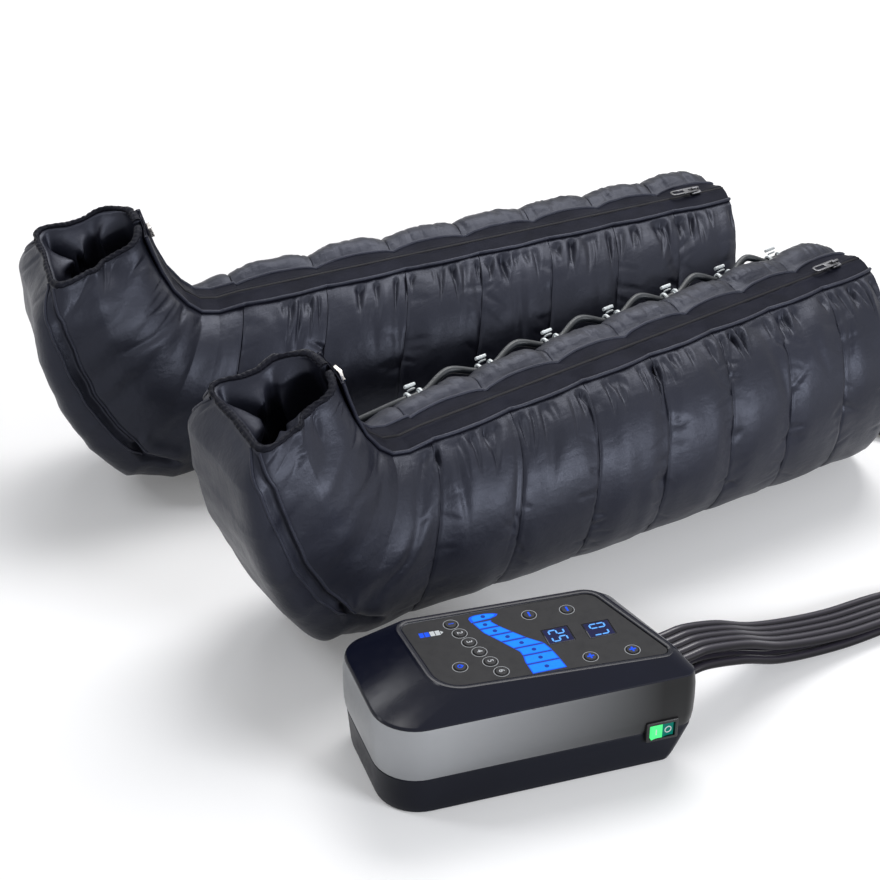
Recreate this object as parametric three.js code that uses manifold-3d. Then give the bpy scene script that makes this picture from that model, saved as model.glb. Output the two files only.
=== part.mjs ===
// Pair of inflatable compression boots with their air hoses and control unit.
// Millimetres, +Z up. Each boot lies on its back, toes up, with the leg along +X.
import * as THREE from "three";
import Module from "manifold-3d";

// Fits
const gap = 0.35;
const seamGap = 0.5;
const loosePinGap = 0.6;
const weld = 0.0005;

// Middle of the floor that the object covers
const originX = 196.7;
const originY = 59.7;

// Leg of a boot, from the ankle seam to the thigh end
const legChambers = 7;
const ankleChamberLength = 102.1;
const chamberLengthStep = 3.8;
const ankleRadius = 107;
const thighRadius = 128;
const calfSwell = 10;
const flatnessShare = 0.9;
const ankleLeanShare = 0.24;
const thighLeanShare = 0;
const ankleBow = 14;
const thighBow = 30;

// Foot of a boot, from the toe opening to the ankle seam
const toeInstepX = -78;
const toeInstepZ = 316;
const toeSoleX = -208;
const toeSoleZ = 284;
const toeHalfWidth = 79;
const soleCornerShare = 0.44;
const instepCornerShare = 0.85;
const toeRoll = 0.15;
const toeSquareRate = 1.6;

// How far each foot section has come from the toe opening to the ankle seam
const footShares = [
  { instepX: 0.06, instepZ: 0.21, soleX: -0.035, soleZ: 0.12, width: 0.18 },
  { instepX: 0.14, instepZ: 0.45, soleX: -0.02, soleZ: 0.3, width: 0.38 },
  { instepX: 0.25, instepZ: 0.7, soleX: 0.06, soleZ: 0.51, width: 0.6 },
  { instepX: 0.39, instepZ: 0.89, soleX: 0.19, soleZ: 0.72, width: 0.82 },
  { instepX: 0.54, instepZ: 1.01, soleX: 0.39, soleZ: 0.91, width: 1 },
  { instepX: 0.73, instepZ: 1.04, soleX: 0.7, soleZ: 0.99, width: 1.06 },
];

// Air cells
const cellHalfThickness = 15;
const seamHalfThickness = 3;
const cellCrownShare = 0.55;
const footCrownShare = 0.35;
const legCellSteps = 4;
const sideColumns = 18;
const zipEdgeY = 6;
const zipZoneY = 29;
const zipBlendY = 45;
const cellFullY = 64;
const nearlyFullShare = 0.97;
const zipZoneDepth = 6;
const zipZoneHalfThickness = 4;
const wholeTurn = Math.PI * 2;
const quarterTurn = Math.PI / 2;

// Zip tape and its parts
const tapeHalfWidth = 28;
const tapePipingY = 26;
const tapeInsideY = 24;
const tapeMiddleY = 14;
const coilHalfWidth = 4;
const tapeThickness = 2;
const pipingHeight = 1.8;
const coilHeight = 1.1;
const sliderShare = 0.93;
const sliderLength = 13;
const sliderWidth = 11;
const sliderHeight = 3.6;
const archLength = 9.2;
const archHeight = 4.4;
const archBar = 1.5;
const archWidth = 3;
const tabBar = 2;
const tabThickness = 1.4;
const tabLength = 32;
const tabWidth = 12;
const tabEyeLength = 8;
const tabEyeWidth = 5.4;
const tabRingInset = 2.6;
const tabRingLength = 14;
const zipEndLength = 13;
const zipEndWidth = 15;
const zipEndHeight = 5;
const zipEndSetback = 5;
const bindingHeight = 6;
const bindingHalfWidth = 3.6;

// Air hose loom and its connectors
const hoseRadius = 4.4;
const hoseSides = 8;
const nearLoomAngle = 0.82;
const farLoomAngle = 0.15;
const loomStandOff = 15;
const loomArcHeight = 13;
const loomTurnShare = 0.24;
const loomBendPast = 1.1;
const loomBendSide = 122;
const loomBendHeight = 112;
const loomEndPast = 13.1;
const loomEndSide = 104;
const loomEndHeight = 100;
const nearLoomSteps = 72;
const farLoomSteps = 44;
const footPortShare = 0.28;
const footPortAngleShare = 0.75;
const connectorLength = 20;
const connectorRadius = 7.4;
const connectorSides = 10;
const boreGap = 1.1;
const guideShare = 0.6;
const stemRadius = 4.2;
const stemSunk = 5.9;

// Far boot
const farBootX = -34;
const thighSpacing = 227.9;
const farBootTurn = -0.22;
const farBootShare = 1.04;

// Flat hose bands, as points along each band's middle, from the boot to the unit
const bandTubes = 5;
const bandWidth = 50;
const bandThickness = 9;
const bandGroove = 2.2;
const bandSteps = 32;
const nearBandRoute = [
  [648.4, 103.5, 99.7], [656, 92, 92], [672, 58, 62], [690, 16, 26], [712, -30, 7], [752, -80, 5.2],
  [806, -130, 5.2], [864, -178, 5.2], [906, -238, 5.2], [898, -314, 5.2], [838, -368, 5.2],
  [750, -382, 5.2], [650, -362, 5.2], [548, -332, 5.2], [446, -313, 5.2], [350, -309, 8],
  [262, -308, 24], [205, -311.6, 49], [157, -312.3, 62], [141, -312.5, 62], [119.2, -312.9, 62],
];
const farBandRoute = [
  [647.4, 330.2, 103.8], [651.5, 319.3, 97.2], [664, 278, 62], [682, 222, 28], [710, 150, 8],
  [744, 82, 5.2], [788, 22, 5.2], [850, -38, 5.2], [922, -92, 5.2], [980, -160, 5.2],
  [1004, -246, 5.2], [980, -342, 5.2], [908, -418, 5.2], [810, -452, 5.2], [742, -450, 11],
  [676, -426, 16.8], [612, -388, 16.8], [540, -348, 16.8], [446, -316, 16.8], [350, -309, 21.5],
  [262, -308, 42], [205, -311.6, 69], [157, -312.3, 82], [141, -312.5, 82], [119.2, -312.9, 82],
];

// Control unit
const unitX = -24.4;
const unitY = -270.1;
const unitTurn = -0.2387;
const unitWidth = 316;
const unitDepth = 152;
const unitEdgeHeight = 108;
const unitTopHeight = 120;
const unitPartingHeight = 45;
const unitCorner = 32;
const unitBaseInset = 10;
const unitWall = 3;
const unitBelly = 3;
const unitLeftFlare = 6;
const unitRightTaper = 40;
const panelCorner = 8;
const panelThickness = 2.4;
const panelRecess = 1.2;
const ledgeWidth = 5;
const ledgeThickness = 3;
const cornerSteps = 5;

// Corners of the panel from the middle of the case, as shares of its width and depth:
// back right, back left, front left, front right
const panelCornerShares = [
  [0.31, 0.4],
  [-0.325, 0.445],
  [-0.29, -0.25],
  [0.437, -0.355],
];

// Panel keys and displays
const keyRadius = 5.8;
const keyCorner = 0.6;
const keyProud = 1;
const keySides = 12;
const keyHeight = 5.4;
const displayWidth = 28;
const displayLength = 24;
const displayCorner = 2;
const displayHeight = 4.4;

// Their places on the panel: how far to the right of its left edge, and how far back from its front edge
const modeKeyShares = [
  [0.237, 0.885], [0.243, 0.735], [0.251, 0.585], [0.26, 0.43], [0.27, 0.27], [0.28, 0.11],
];
const powerKeyShares = [0.133, 0.26];
const timeKeyShares = { minus: [0.617, 0.835], plus: [0.675, 0.12], display: [0.644, 0.485] };
const pressureKeyShares = { minus: [0.804, 0.82], plus: [0.864, 0.125], display: [0.837, 0.48] };

// Rocker switch on the front face
const rockerInset = 38;
const rockerZ = 47;
const rockerWidth = 27;
const rockerHeight = 17;
const rockerFrameBar = 3.2;
const rockerFrameDepth = 14;
const rockerFrameProud = 1.6;
const rockerDepth = 8;
const rockerPivotDepth = 5;
const rockerTilt = 1.4;
const rockerEndGap = 1.4;

// Hose plugs and the parts inside
const plugWidth = 56;
const plugHeight = 13;
const plugDepth = 22;
const plugProud = 9;
const plugLowZ = 62;
const plugHighZ = 82;
const plugY = -10;
const boardThickness = 1.6;
const boardDrop = 6.1;
const boardMargin = 2;
const pumpWidth = 110;
const pumpDepth = 70;
const pumpHeight = 52;
const pumpX = -60;
const pumpY = 6;
const pumpCorner = 9;
const floorThickness = 4;

const wasm = await Module();
wasm.setup();

const yAxis = new THREE.Vector3(0, 1, 0);
const zAxis = new THREE.Vector3(0, 0, 1);

function mix(a, b, share) {
  return a + (b - a) * share;
}

function smooth(low, high, value) {
  const t = Math.min(1, Math.max(0, (value - low) / (high - low)));
  return t * t * (1 + 2 * (1 - t));
}

// Sides between loops of points, with both ends closed. Point i of a loop lies across from its mirror point.
function bodyFromLoops(loops, closed = false) {
  const count = loops[0].length;
  const positions = loops.flat().flatMap((p) => [p.x, p.y, p.z]);
  const index = [];
  const rows = closed ? loops.length : loops.length - 1;
  for (let r = 0; r < rows; r += 1) {
    const here = r * count;
    const next = ((r + 1) % loops.length) * count;
    for (let i = 0; i < count; i += 1) {
      const j = (i + 1) % count;
      index.push(here + i, next + i, next + j, here + i, next + j, here + j);
    }
  }
  if (!closed) {
    for (const [row, flip] of [[0, false], [loops.length - 1, true]]) {
      const start = row * count;
      for (let i = 0; i < count / 2 - 1; i += 1) {
        const a = start + i;
        const b = start + i + 1;
        const c = start + count - 2 - i;
        const d = start + count - 1 - i;
        const faces = flip ? [[a, c, b], [a, d, c]] : [[a, b, c], [a, c, d]];
        for (const face of faces) {
          if (new Set(face).size === 3) index.push(...face);
        }
      }
    }
  }
  const geometry = new THREE.BufferGeometry();
  geometry.setAttribute("position", new THREE.Float32BufferAttribute(positions, 3));
  geometry.setIndex(volumeOf(positions, index) < 0 ? turned(index) : index);
  geometry.computeVertexNormals();
  return geometry;
}

function turned(index) {
  const out = [];
  for (let i = 0; i < index.length; i += 3) out.push(index[i], index[i + 2], index[i + 1]);
  return out;
}

function volumeOf(positions, index) {
  const point = (i) => new THREE.Vector3().fromArray(positions, i * 3);
  let volume = 0;
  for (let i = 0; i < index.length; i += 3) {
    volume += point(index[i]).dot(point(index[i + 1]).cross(point(index[i + 2])));
  }
  return volume;
}

// Rings stacked one on another, closed with a fan at the first and the last ring
function bodyFromRings(rings) {
  const geometry = bodyFromLoops(rings, true);
  const count = rings[0].length;
  const positions = Array.from(geometry.getAttribute("position").array);
  const keep = [];
  const index = Array.from(geometry.getIndex().array);
  const lastRow = (rings.length - 1) * count;
  for (let i = 0; i < index.length; i += 3) {
    const three = index.slice(i, i + 3);
    const wraps = three.some((v) => v >= lastRow) && three.some((v) => v < count);
    if (!wraps || rings.length === 2) keep.push(...three);
  }
  if (rings.length === 2) keep.length = 0;
  const sides = rings.length === 2 ? stripBetween(count) : keep;
  const caps = [];
  for (const [row, flip] of [[0, false], [rings.length - 1, true]]) {
    const middle = rings[row].reduce((sum, p) => sum.add(p), new THREE.Vector3());
    middle.divideScalar(count);
    const centre = positions.length / 3;
    positions.push(middle.x, middle.y, middle.z);
    for (let i = 0; i < count; i += 1) {
      const a = row * count + i;
      const b = row * count + ((i + 1) % count);
      caps.push(...(flip ? [centre, b, a] : [centre, a, b]));
    }
  }
  const flipped = sidesTurned(sides, count) ? caps : turned(caps);
  const all = [...sides, ...flipped];
  const made = new THREE.BufferGeometry();
  made.setAttribute("position", new THREE.Float32BufferAttribute(positions, 3));
  made.setIndex(volumeOf(positions, all) < 0 ? turned(all) : all);
  made.computeVertexNormals();
  return made;
}

function stripBetween(count) {
  const out = [];
  for (let i = 0; i < count; i += 1) {
    const j = (i + 1) % count;
    out.push(i, count + i, count + j, i, count + j, j);
  }
  return out;
}

// True where the sides use the first ring's edges from point i + 1 back to point i
function sidesTurned(sides, count) {
  for (let i = 0; i < sides.length; i += 3) {
    for (let k = 0; k < 3; k += 1) {
      const a = sides[i + k];
      const b = sides[i + ((k + 1) % 3)];
      if (a < count && b < count) return (a + 1) % count !== b;
    }
  }
  return false;
}

function toManifold(geometry) {
  const index = geometry.getIndex()
    ? Array.from(geometry.getIndex().array)
    : Array.from({ length: geometry.getAttribute("position").count }, (_, i) => i);
  const source = geometry.getAttribute("position");
  const seen = new Map();
  const vertices = [];
  const lookup = [];
  for (let i = 0; i < source.count; i += 1) {
    const point = [source.getX(i), source.getY(i), source.getZ(i)];
    const key = point.map((v) => Math.round(v / weld)).join(",");
    if (!seen.has(key)) {
      seen.set(key, vertices.length / 3);
      vertices.push(...point);
    }
    lookup.push(seen.get(key));
  }
  const triangles = [];
  for (let i = 0; i < index.length; i += 3) {
    const [a, b, c] = [lookup[index[i]], lookup[index[i + 1]], lookup[index[i + 2]]];
    if (a !== b && b !== c && a !== c) triangles.push(a, b, c);
  }
  const mesh = new wasm.Mesh({
    numProp: 3,
    vertProperties: new Float32Array(vertices),
    triVerts: new Uint32Array(triangles),
  });
  return new wasm.Manifold(mesh);
}

function fromManifold(solid) {
  const mesh = solid.getMesh();
  const geometry = new THREE.BufferGeometry();
  geometry.setAttribute("position", new THREE.Float32BufferAttribute(mesh.vertProperties, 3));
  geometry.setIndex(Array.from(mesh.triVerts));
  geometry.computeVertexNormals();
  return geometry;
}

function boxSolid(width, depth, height, x, y, z) {
  const box = new THREE.BoxGeometry(width, depth, height);
  box.translate(x, y, z);
  return toManifold(box);
}

function meshOf(name, geometry, color, roughness = 0.5, metalness = 0) {
  const mesh = new THREE.Mesh(geometry, new THREE.MeshStandardMaterial({ color, roughness, metalness }));
  mesh.name = name;
  return mesh;
}

// Boot surface

const legSeams = [0];
for (let i = 0; i < legChambers; i += 1) {
  legSeams.push(legSeams[i] + ankleChamberLength - chamberLengthStep * i);
}
const legLength = legSeams[legChambers];
const footSteps = footShares.length + 1;

// Where the boot's section stands at place s: -1 at the toe, 0 at the ankle seam, then 1 per leg chamber
function stationAt(s) {
  if (s >= 0) {
    const i = Math.min(legChambers - 1, Math.floor(s));
    const x = mix(legSeams[i], legSeams[i + 1], s - i);
    const along = x / legLength;
    const radius = mix(ankleRadius, thighRadius, along);
    const lean = mix(ankleLeanShare, thighLeanShare, along) * radius;
    return {
      top: new THREE.Vector3(x + lean, 0, radius * 2),
      bottom: new THREE.Vector3(x - lean, 0, 0),
      halfWidth: radius * flatnessShare + calfSwell * Math.sin(Math.PI * along),
      bow: mix(ankleBow, thighBow, along),
      corner: 1,
      upperCorner: 1,
      roll: 0,
    };
  }
  const ankle = stationAt(0);
  const t = (Math.max(-1, s) + 1) * footSteps;
  const i = Math.min(footSteps - 1, Math.floor(t));
  const shareOf = (key, place) => {
    if (place === 0) return 0;
    return place === footSteps ? 1 : footShares[place - 1][key];
  };
  const at = (key, toe, end) => mix(toe, end, mix(shareOf(key, i), shareOf(key, i + 1), t - i));
  const squared = smooth(0, 1, -s * toeSquareRate);
  return {
    top: new THREE.Vector3(at("instepX", toeInstepX, ankle.top.x), 0, at("instepZ", toeInstepZ, ankle.top.z)),
    bottom: new THREE.Vector3(at("soleX", toeSoleX, ankle.bottom.x), 0, at("soleZ", toeSoleZ, 0)),
    halfWidth: at("width", toeHalfWidth, ankle.halfWidth),
    bow: ankleBow * (1 + s),
    corner: mix(1, soleCornerShare, squared),
    upperCorner: mix(1, instepCornerShare, squared),
    roll: -s * toeRoll,
  };
}

// A point of the boot at place s and angle round the section, at a depth below its outer envelope
function surfacePoint(s, angle, depth) {
  const station = stationAt(s);
  const up = station.top.clone().sub(station.bottom);
  const half = up.length() / 2;
  up.normalize();
  const point = station.top.clone().add(station.bottom).multiplyScalar(0.5);
  const power = Math.sin(angle) < 0 ? station.corner : station.upperCorner;
  const across = Math.sign(Math.cos(angle)) * Math.pow(Math.abs(Math.cos(angle)), power);
  const rise = Math.sign(Math.sin(angle)) * Math.pow(Math.abs(Math.sin(angle)), power);
  const sideways = new THREE.Vector3(0, Math.cos(station.roll), Math.sin(station.roll));
  point.addScaledVector(sideways, (station.halfWidth - depth) * across);
  point.addScaledVector(up, (half - depth) * rise);
  point.x -= station.bow * Math.cos(angle) * Math.cos(angle);
  return point;
}

function angleForY(s, y) {
  const station = stationAt(s);
  return Math.acos(Math.pow(Math.min(1, Math.abs(y) / station.halfWidth), 1 / station.upperCorner) * Math.sign(y));
}

// Angles of the columns from one zip edge right round the section to the other
function columnAngles(s) {
  const widest = stationAt(s).halfWidth * nearlyFullShare;
  const marks = [zipEdgeY, zipZoneY, zipBlendY, cellFullY].map((y) => angleForY(s, Math.min(y, widest)));
  const first = marks[marks.length - 1];
  const last = Math.PI - first;
  const angles = [...marks];
  for (let i = 1; i < sideColumns; i += 1) {
    angles.push(first - ((wholeTurn - (last - first)) * i) / sideColumns);
  }
  for (let i = marks.length - 1; i >= 0; i -= 1) angles.push(Math.PI - marks[i] - wholeTurn);
  return angles;
}

// How thick the cell is, and how deep its middle lies, at a column
function cellAt(s, angle, full) {
  const station = stationAt(s);
  const y = Math.pow(Math.abs(Math.cos(angle)), station.upperCorner) * station.halfWidth;
  const onTop = Math.sin(angle) > 0;
  const share = onTop ? smooth(zipZoneY, Math.min(cellFullY, station.halfWidth * nearlyFullShare), y) : 1;
  return {
    middle: mix(zipZoneDepth, cellHalfThickness, share),
    half: mix(zipZoneHalfThickness, full, share),
  };
}

function airCell(from, to, steps, crownShare) {
  const places = [];
  for (let i = 0; i <= steps; i += 1) {
    const share = i / steps;
    const swell = Math.pow(Math.sin(Math.PI * share), crownShare);
    places.push({ s: mix(from, to, share), full: mix(seamHalfThickness, cellHalfThickness, swell || 0) });
  }
  const columns = columnAngles(mix(from, to, 0.5)).length;
  const loops = [];
  for (let c = 0; c < columns; c += 1) {
    const outer = places.map(({ s, full }) => {
      const angle = columnAngles(s)[c];
      const cell = cellAt(s, angle, full);
      return surfacePoint(s, angle, cell.middle - cell.half);
    });
    const inner = places.map(({ s, full }) => {
      const angle = columnAngles(s)[c];
      const cell = cellAt(s, angle, full);
      return surfacePoint(s, angle, cell.middle + cell.half);
    });
    loops.push([...outer, ...inner.reverse()]);
  }
  return bodyFromLoops(loops);
}

function tapePlaces() {
  const places = [];
  for (let i = 0; i < footSteps; i += 1) places.push(i / footSteps - 1);
  for (let i = 0; i < legChambers * 2; i += 1) places.push(i / 2);
  places.push(legChambers);
  return places;
}

function zipTape() {
  const underside = zipZoneDepth - zipZoneHalfThickness - gap;
  const topside = underside - tapeThickness;
  const rows = [
    [-tapeHalfWidth, topside],
    [-tapePipingY, topside - pipingHeight],
    [-tapeInsideY, topside],
    [-tapeMiddleY, topside],
    [-coilHalfWidth, topside],
    [0, topside - coilHeight],
    [coilHalfWidth, topside],
    [tapeMiddleY, topside],
    [tapeInsideY, topside],
    [tapePipingY, topside - pipingHeight],
    [tapeHalfWidth, topside],
  ];
  const loops = tapePlaces().map((s) => {
    const upper = rows.map(([y, depth]) => surfacePoint(s, angleForY(s, y), depth));
    const lower = rows.map(([y]) => surfacePoint(s, angleForY(s, y), underside));
    return [...upper, ...lower.reverse()];
  });
  return bodyFromLoops(loops);
}

function toeBinding() {
  const station = stationAt(-1);
  const up = station.top.clone().sub(station.bottom).normalize();
  const away = new THREE.Vector3().crossVectors(up, yAxis);
  if (away.z < 0) away.negate();
  const loops = columnAngles(-1).map((angle) => {
    const cell = cellAt(-1, angle, seamHalfThickness);
    const low = surfacePoint(-1, angle, cell.middle - bindingHalfWidth).addScaledVector(away, gap);
    const lowIn = surfacePoint(-1, angle, cell.middle + bindingHalfWidth).addScaledVector(away, gap);
    const high = low.clone().addScaledVector(away, bindingHeight);
    const highIn = lowIn.clone().addScaledVector(away, bindingHeight);
    return [low, high, highIn, lowIn];
  });
  return bodyFromLoops(loops);
}

function zipSlider() {
  const body = boxSolid(sliderLength, sliderWidth, sliderHeight, 0, 0, sliderHeight / 2);
  const archMiddle = sliderHeight + archHeight / 2 - archBar / 2;
  const arch = boxSolid(archLength, archWidth, archHeight + archBar, 0, 0, archMiddle);
  const eye = boxSolid(archLength - archBar * 2, sliderWidth, archHeight - archBar, 0, 0, archMiddle);
  return fromManifold(body.add(arch.subtract(eye)));
}

function pullTab() {
  const shape = new THREE.Shape();
  const nose = tabWidth / 2;
  shape.moveTo(tabBar / 2, -nose);
  shape.lineTo(tabBar / 2, nose);
  shape.lineTo(nose - tabLength, nose);
  shape.lineTo(-tabLength, nose / 2);
  shape.lineTo(-tabLength, -nose / 2);
  shape.lineTo(nose - tabLength, -nose);
  shape.closePath();
  const eye = new THREE.Path();
  const eyeHalf = tabEyeWidth / 2;
  eye.moveTo(-tabBar / 2, -eyeHalf);
  eye.lineTo(-tabBar / 2 - tabEyeLength, -eyeHalf);
  eye.lineTo(-tabBar / 2 - tabEyeLength, eyeHalf);
  eye.lineTo(-tabBar / 2, eyeHalf);
  eye.closePath();
  const ring = new THREE.Path();
  const ringHalf = nose - tabRingInset;
  const ringStart = tabRingInset - tabLength;
  ring.moveTo(ringStart, -ringHalf);
  ring.lineTo(ringStart, ringHalf);
  ring.lineTo(ringStart + tabRingLength, ringHalf);
  ring.lineTo(ringStart + tabRingLength, -ringHalf);
  ring.closePath();
  shape.holes.push(eye, ring);
  const geometry = new THREE.ExtrudeGeometry(shape, { depth: tabThickness, bevelEnabled: false });
  geometry.translate(0, 0, -tabThickness / 2);
  return geometry;
}

// A round hose along points, as one unbroken tube
function hoseAlong(points, radius, steps) {
  const curve = new THREE.CatmullRomCurve3(points, false, "centripetal");
  const loops = [];
  for (let i = 0; i <= steps; i += 1) {
    const u = i / steps;
    const centre = curve.getPointAt(u);
    const along = curve.getTangentAt(u);
    const side = new THREE.Vector3().crossVectors(zAxis, along).normalize();
    const over = new THREE.Vector3().crossVectors(along, side).normalize();
    const loop = [];
    for (let k = 0; k < hoseSides; k += 1) {
      const angle = ((k + 0.5) / hoseSides) * wholeTurn;
      loop.push(
        centre
          .clone()
          .addScaledVector(side, radius * Math.cos(angle))
          .addScaledVector(over, radius * Math.sin(angle)),
      );
    }
    loops.push(loop);
  }
  return bodyFromLoops(loops);
}

// Where the loom runs: stand-off outside the envelope at a place and angle
function loomPoint(s, angle, standOff) {
  return surfacePoint(s, angle, -standOff);
}

function loomPlaces() {
  return Array.from({ length: legChambers }, (_, i) => i + 0.5);
}

function legDirection() {
  return stationAt(legChambers).top.clone().sub(stationAt(0).top).normalize();
}

function hoseLoom(angle, steps) {
  const points = [];
  const portAngle = angle * footPortAngleShare;
  points.push(surfacePoint(-footPortShare, portAngle, -hoseRadius / 2));
  points.push(loomPoint(-footPortShare / 2, portAngle, loomStandOff));
  const along = legDirection();
  loomPlaces().forEach((s, i, all) => {
    const middle = loomPoint(s, angle, loomStandOff);
    points.push(middle.clone().addScaledVector(along, -connectorLength * guideShare));
    points.push(middle);
    points.push(middle.clone().addScaledVector(along, connectorLength * guideShare));
    if (i < all.length - 1) points.push(loomPoint(s + 0.5, angle, loomStandOff + loomArcHeight));
  });
  points.push(loomPoint(legChambers - loomTurnShare, angle, loomStandOff));
  points.push(new THREE.Vector3(legLength + loomBendPast, loomBendSide, loomBendHeight));
  points.push(new THREE.Vector3(legLength + loomEndPast, loomEndSide, loomEndHeight));
  return hoseAlong(points, hoseRadius, steps);
}

function connector() {
  const bore = hoseRadius + boreGap;
  const barrel = new THREE.CylinderGeometry(connectorRadius, connectorRadius, connectorLength, connectorSides);
  const hole = new THREE.CylinderGeometry(bore, bore, connectorLength * 2, connectorSides);
  const stemLength = loomStandOff - gap * 2 - stemSunk;
  const stem = new THREE.CylinderGeometry(stemRadius, stemRadius, stemLength, connectorSides);
  barrel.rotateZ(quarterTurn);
  hole.rotateZ(quarterTurn);
  stem.rotateX(quarterTurn);
  stem.translate(0, 0, -(stemSunk + stemLength / 2));
  return fromManifold(toManifold(barrel).add(toManifold(stem)).subtract(toManifold(hole)));
}

function buildBoot(side, angle, loomSteps) {
  const group = new THREE.Group();
  group.name = `${side}_boot`;
  const cloth = 0x262631;
  const halfSeam = seamGap / 2 / ankleChamberLength;
  group.add(meshOf(`${side}_foot_chamber`, airCell(-1, -halfSeam, footSteps, footCrownShare), cloth));
  for (let i = 0; i < legChambers; i += 1) {
    const cell = airCell(i + halfSeam, i + 1 - halfSeam, legCellSteps, cellCrownShare);
    group.add(meshOf(`${side}_leg_chamber_${i + 1}`, cell, cloth));
  }
  group.add(meshOf(`${side}_zip_tape`, zipTape(), 0x1c1c22));
  group.add(meshOf(`${side}_toe_binding`, toeBinding(), 0x1a1a20));
  group.add(meshOf(`${side}_hose_loom`, hoseLoom(angle, loomSteps), 0x6a6a78));

  const along = legDirection();
  const slope = Math.asin(along.z);
  const coilTop = zipZoneDepth - zipZoneHalfThickness - gap - tapeThickness - coilHeight;
  const slider = meshOf(`${side}_zip_slider`, zipSlider(), 0x3a3a40, 0.35, 0.8);
  slider.position.copy(surfacePoint(legChambers * sliderShare, quarterTurn, coilTop - gap));
  slider.rotation.y = -slope;
  const tab = meshOf(`${side}_pull_tab`, pullTab(), 0x222226, 0.4, 0.6);
  tab.position.set(0, 0, sliderHeight + (archHeight - archBar) / 2);
  slider.add(tab);
  group.add(slider);

  const toe = stationAt(-1);
  const down = stationAt(-1 + 1 / footSteps).top.clone().sub(toe.top).normalize();
  const outward = new THREE.Vector3().crossVectors(yAxis, down).normalize();
  if (outward.x < 0) outward.negate();
  const clip = meshOf(`${side}_zip_end`, new THREE.BoxGeometry(zipEndHeight, zipEndWidth, zipEndLength), 0xd8d2cc, 0.25, 0.9);
  clip.position.copy(toe.top);
  clip.position.addScaledVector(down, zipEndSetback + zipEndLength / 2);
  clip.position.addScaledVector(outward, gap - coilTop + zipEndHeight / 2);
  clip.rotation.y = Math.atan2(down.x, down.z) + Math.PI;
  group.add(clip);
  return group;
}

const root = new THREE.Group();
root.name = "compression_boots";

const nearBoot = buildBoot("near", nearLoomAngle, nearLoomSteps);
const farBoot = buildBoot("far", farLoomAngle, farLoomSteps);
const farBootY = thighSpacing - Math.sin(farBootTurn) * legLength * farBootShare;
farBoot.position.set(farBootX, farBootY, 0);
farBoot.rotation.z = farBootTurn;
farBoot.scale.setScalar(farBootShare);
root.add(nearBoot, farBoot);

loomPlaces().forEach((s, i) => {
  const mesh = meshOf(`near_connector_${i + 1}`, connector(), 0xb8bcc4, 0.35);
  const middle = loomPoint(s, nearLoomAngle, loomStandOff);
  const foot = loomPoint(s, nearLoomAngle, 0);
  const out = middle.clone().sub(foot).normalize();
  const along = legDirection();
  const across = new THREE.Vector3().crossVectors(out, along).normalize();
  const trueOut = new THREE.Vector3().crossVectors(along, across).normalize();
  mesh.position.copy(middle);
  mesh.quaternion.setFromRotationMatrix(new THREE.Matrix4().makeBasis(along, across, trueOut));
  nearBoot.add(mesh);
});

// Flat hose bands

function hoseBand(route) {
  const curve = new THREE.CatmullRomCurve3(route.map((p) => new THREE.Vector3(...p)), false, "centripetal");
  const loops = [];
  for (let i = 0; i <= bandSteps; i += 1) {
    const u = i / bandSteps;
    const centre = curve.getPointAt(u);
    const along = curve.getTangentAt(u);
    const side = new THREE.Vector3().crossVectors(zAxis, along).normalize();
    const over = new THREE.Vector3().crossVectors(along, side).normalize();
    const upper = [];
    const lower = [];
    for (let k = 0; k <= bandTubes * 2; k += 1) {
      const across = (k / (bandTubes * 2) - 0.5) * bandWidth;
      const atCrest = k % 2 === 1;
      const half = atCrest ? bandThickness / 2 : bandThickness / 2 - bandGroove;
      upper.push(centre.clone().addScaledVector(side, across).addScaledVector(over, half));
      lower.push(centre.clone().addScaledVector(side, across).addScaledVector(over, -half));
    }
    loops.push([...upper, ...lower.reverse()]);
  }
  return bodyFromLoops(loops);
}

root.add(meshOf("near_hose_band", hoseBand(nearBandRoute), 0x4a4855, 0.4));
root.add(meshOf("far_hose_band", hoseBand(farBandRoute), 0x4a4855, 0.4));

// Control unit

// A rounded four-sided ring inside four corners, which go round to the left from the back right one
function quadRing(corners, inset, corner, z) {
  const ring = [];
  corners.forEach((here, i) => {
    const before = corners[(i + corners.length - 1) % corners.length];
    const after = corners[(i + 1) % corners.length];
    const out = [
      [before, here],
      [here, after],
    ].map(([from, to]) => Math.atan2(to[1] - from[1], to[0] - from[0]) - quarterTurn);
    const turn = (out[1] - out[0] + wholeTurn) % wholeTurn;
    const middle = out[0] + turn / 2;
    const reach = (inset + corner) / Math.cos(turn / 2);
    const x = here[0] - reach * Math.cos(middle);
    const y = here[1] - reach * Math.sin(middle);
    for (let k = 0; k <= cornerSteps; k += 1) {
      const angle = out[0] + (turn * k) / cornerSteps;
      ring.push(new THREE.Vector3(x + corner * Math.cos(angle), y + corner * Math.sin(angle), z));
    }
  });
  return ring;
}

function ringOf(left, right, front, back, corner, z) {
  return quadRing([[right, back], [left, back], [left, front], [right, front]], 0, corner, z);
}

const frontY = -unitDepth / 2;
const rightX = unitWidth / 2;
const bodyCorners = [
  [rightX - unitRightTaper, -frontY],
  [-rightX - unitLeftFlare, -frontY],
  [-rightX, frontY],
  [rightX, frontY],
];
const panelCorners = panelCornerShares.map(([x, y]) => [x * unitWidth, y * unitDepth]);

function bodyRing(inset, z) {
  return quadRing(bodyCorners, inset, Math.max(unitCorner - inset, unitWall), z);
}

function panelRing(inset, z) {
  return quadRing(panelCorners, inset, Math.max(panelCorner - inset, gap), z);
}

// A place on the panel from its shares to the right and to the back
function panelPlace([across, back]) {
  const [backRight, backLeft, frontLeft, frontRight] = panelCorners;
  return [0, 1].map((k) => {
    const front = mix(frontLeft[k], frontRight[k], across);
    return mix(front, mix(backLeft[k], backRight[k], across), back);
  });
}

const ledgeTop = unitTopHeight - panelRecess - panelThickness - gap;

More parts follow.
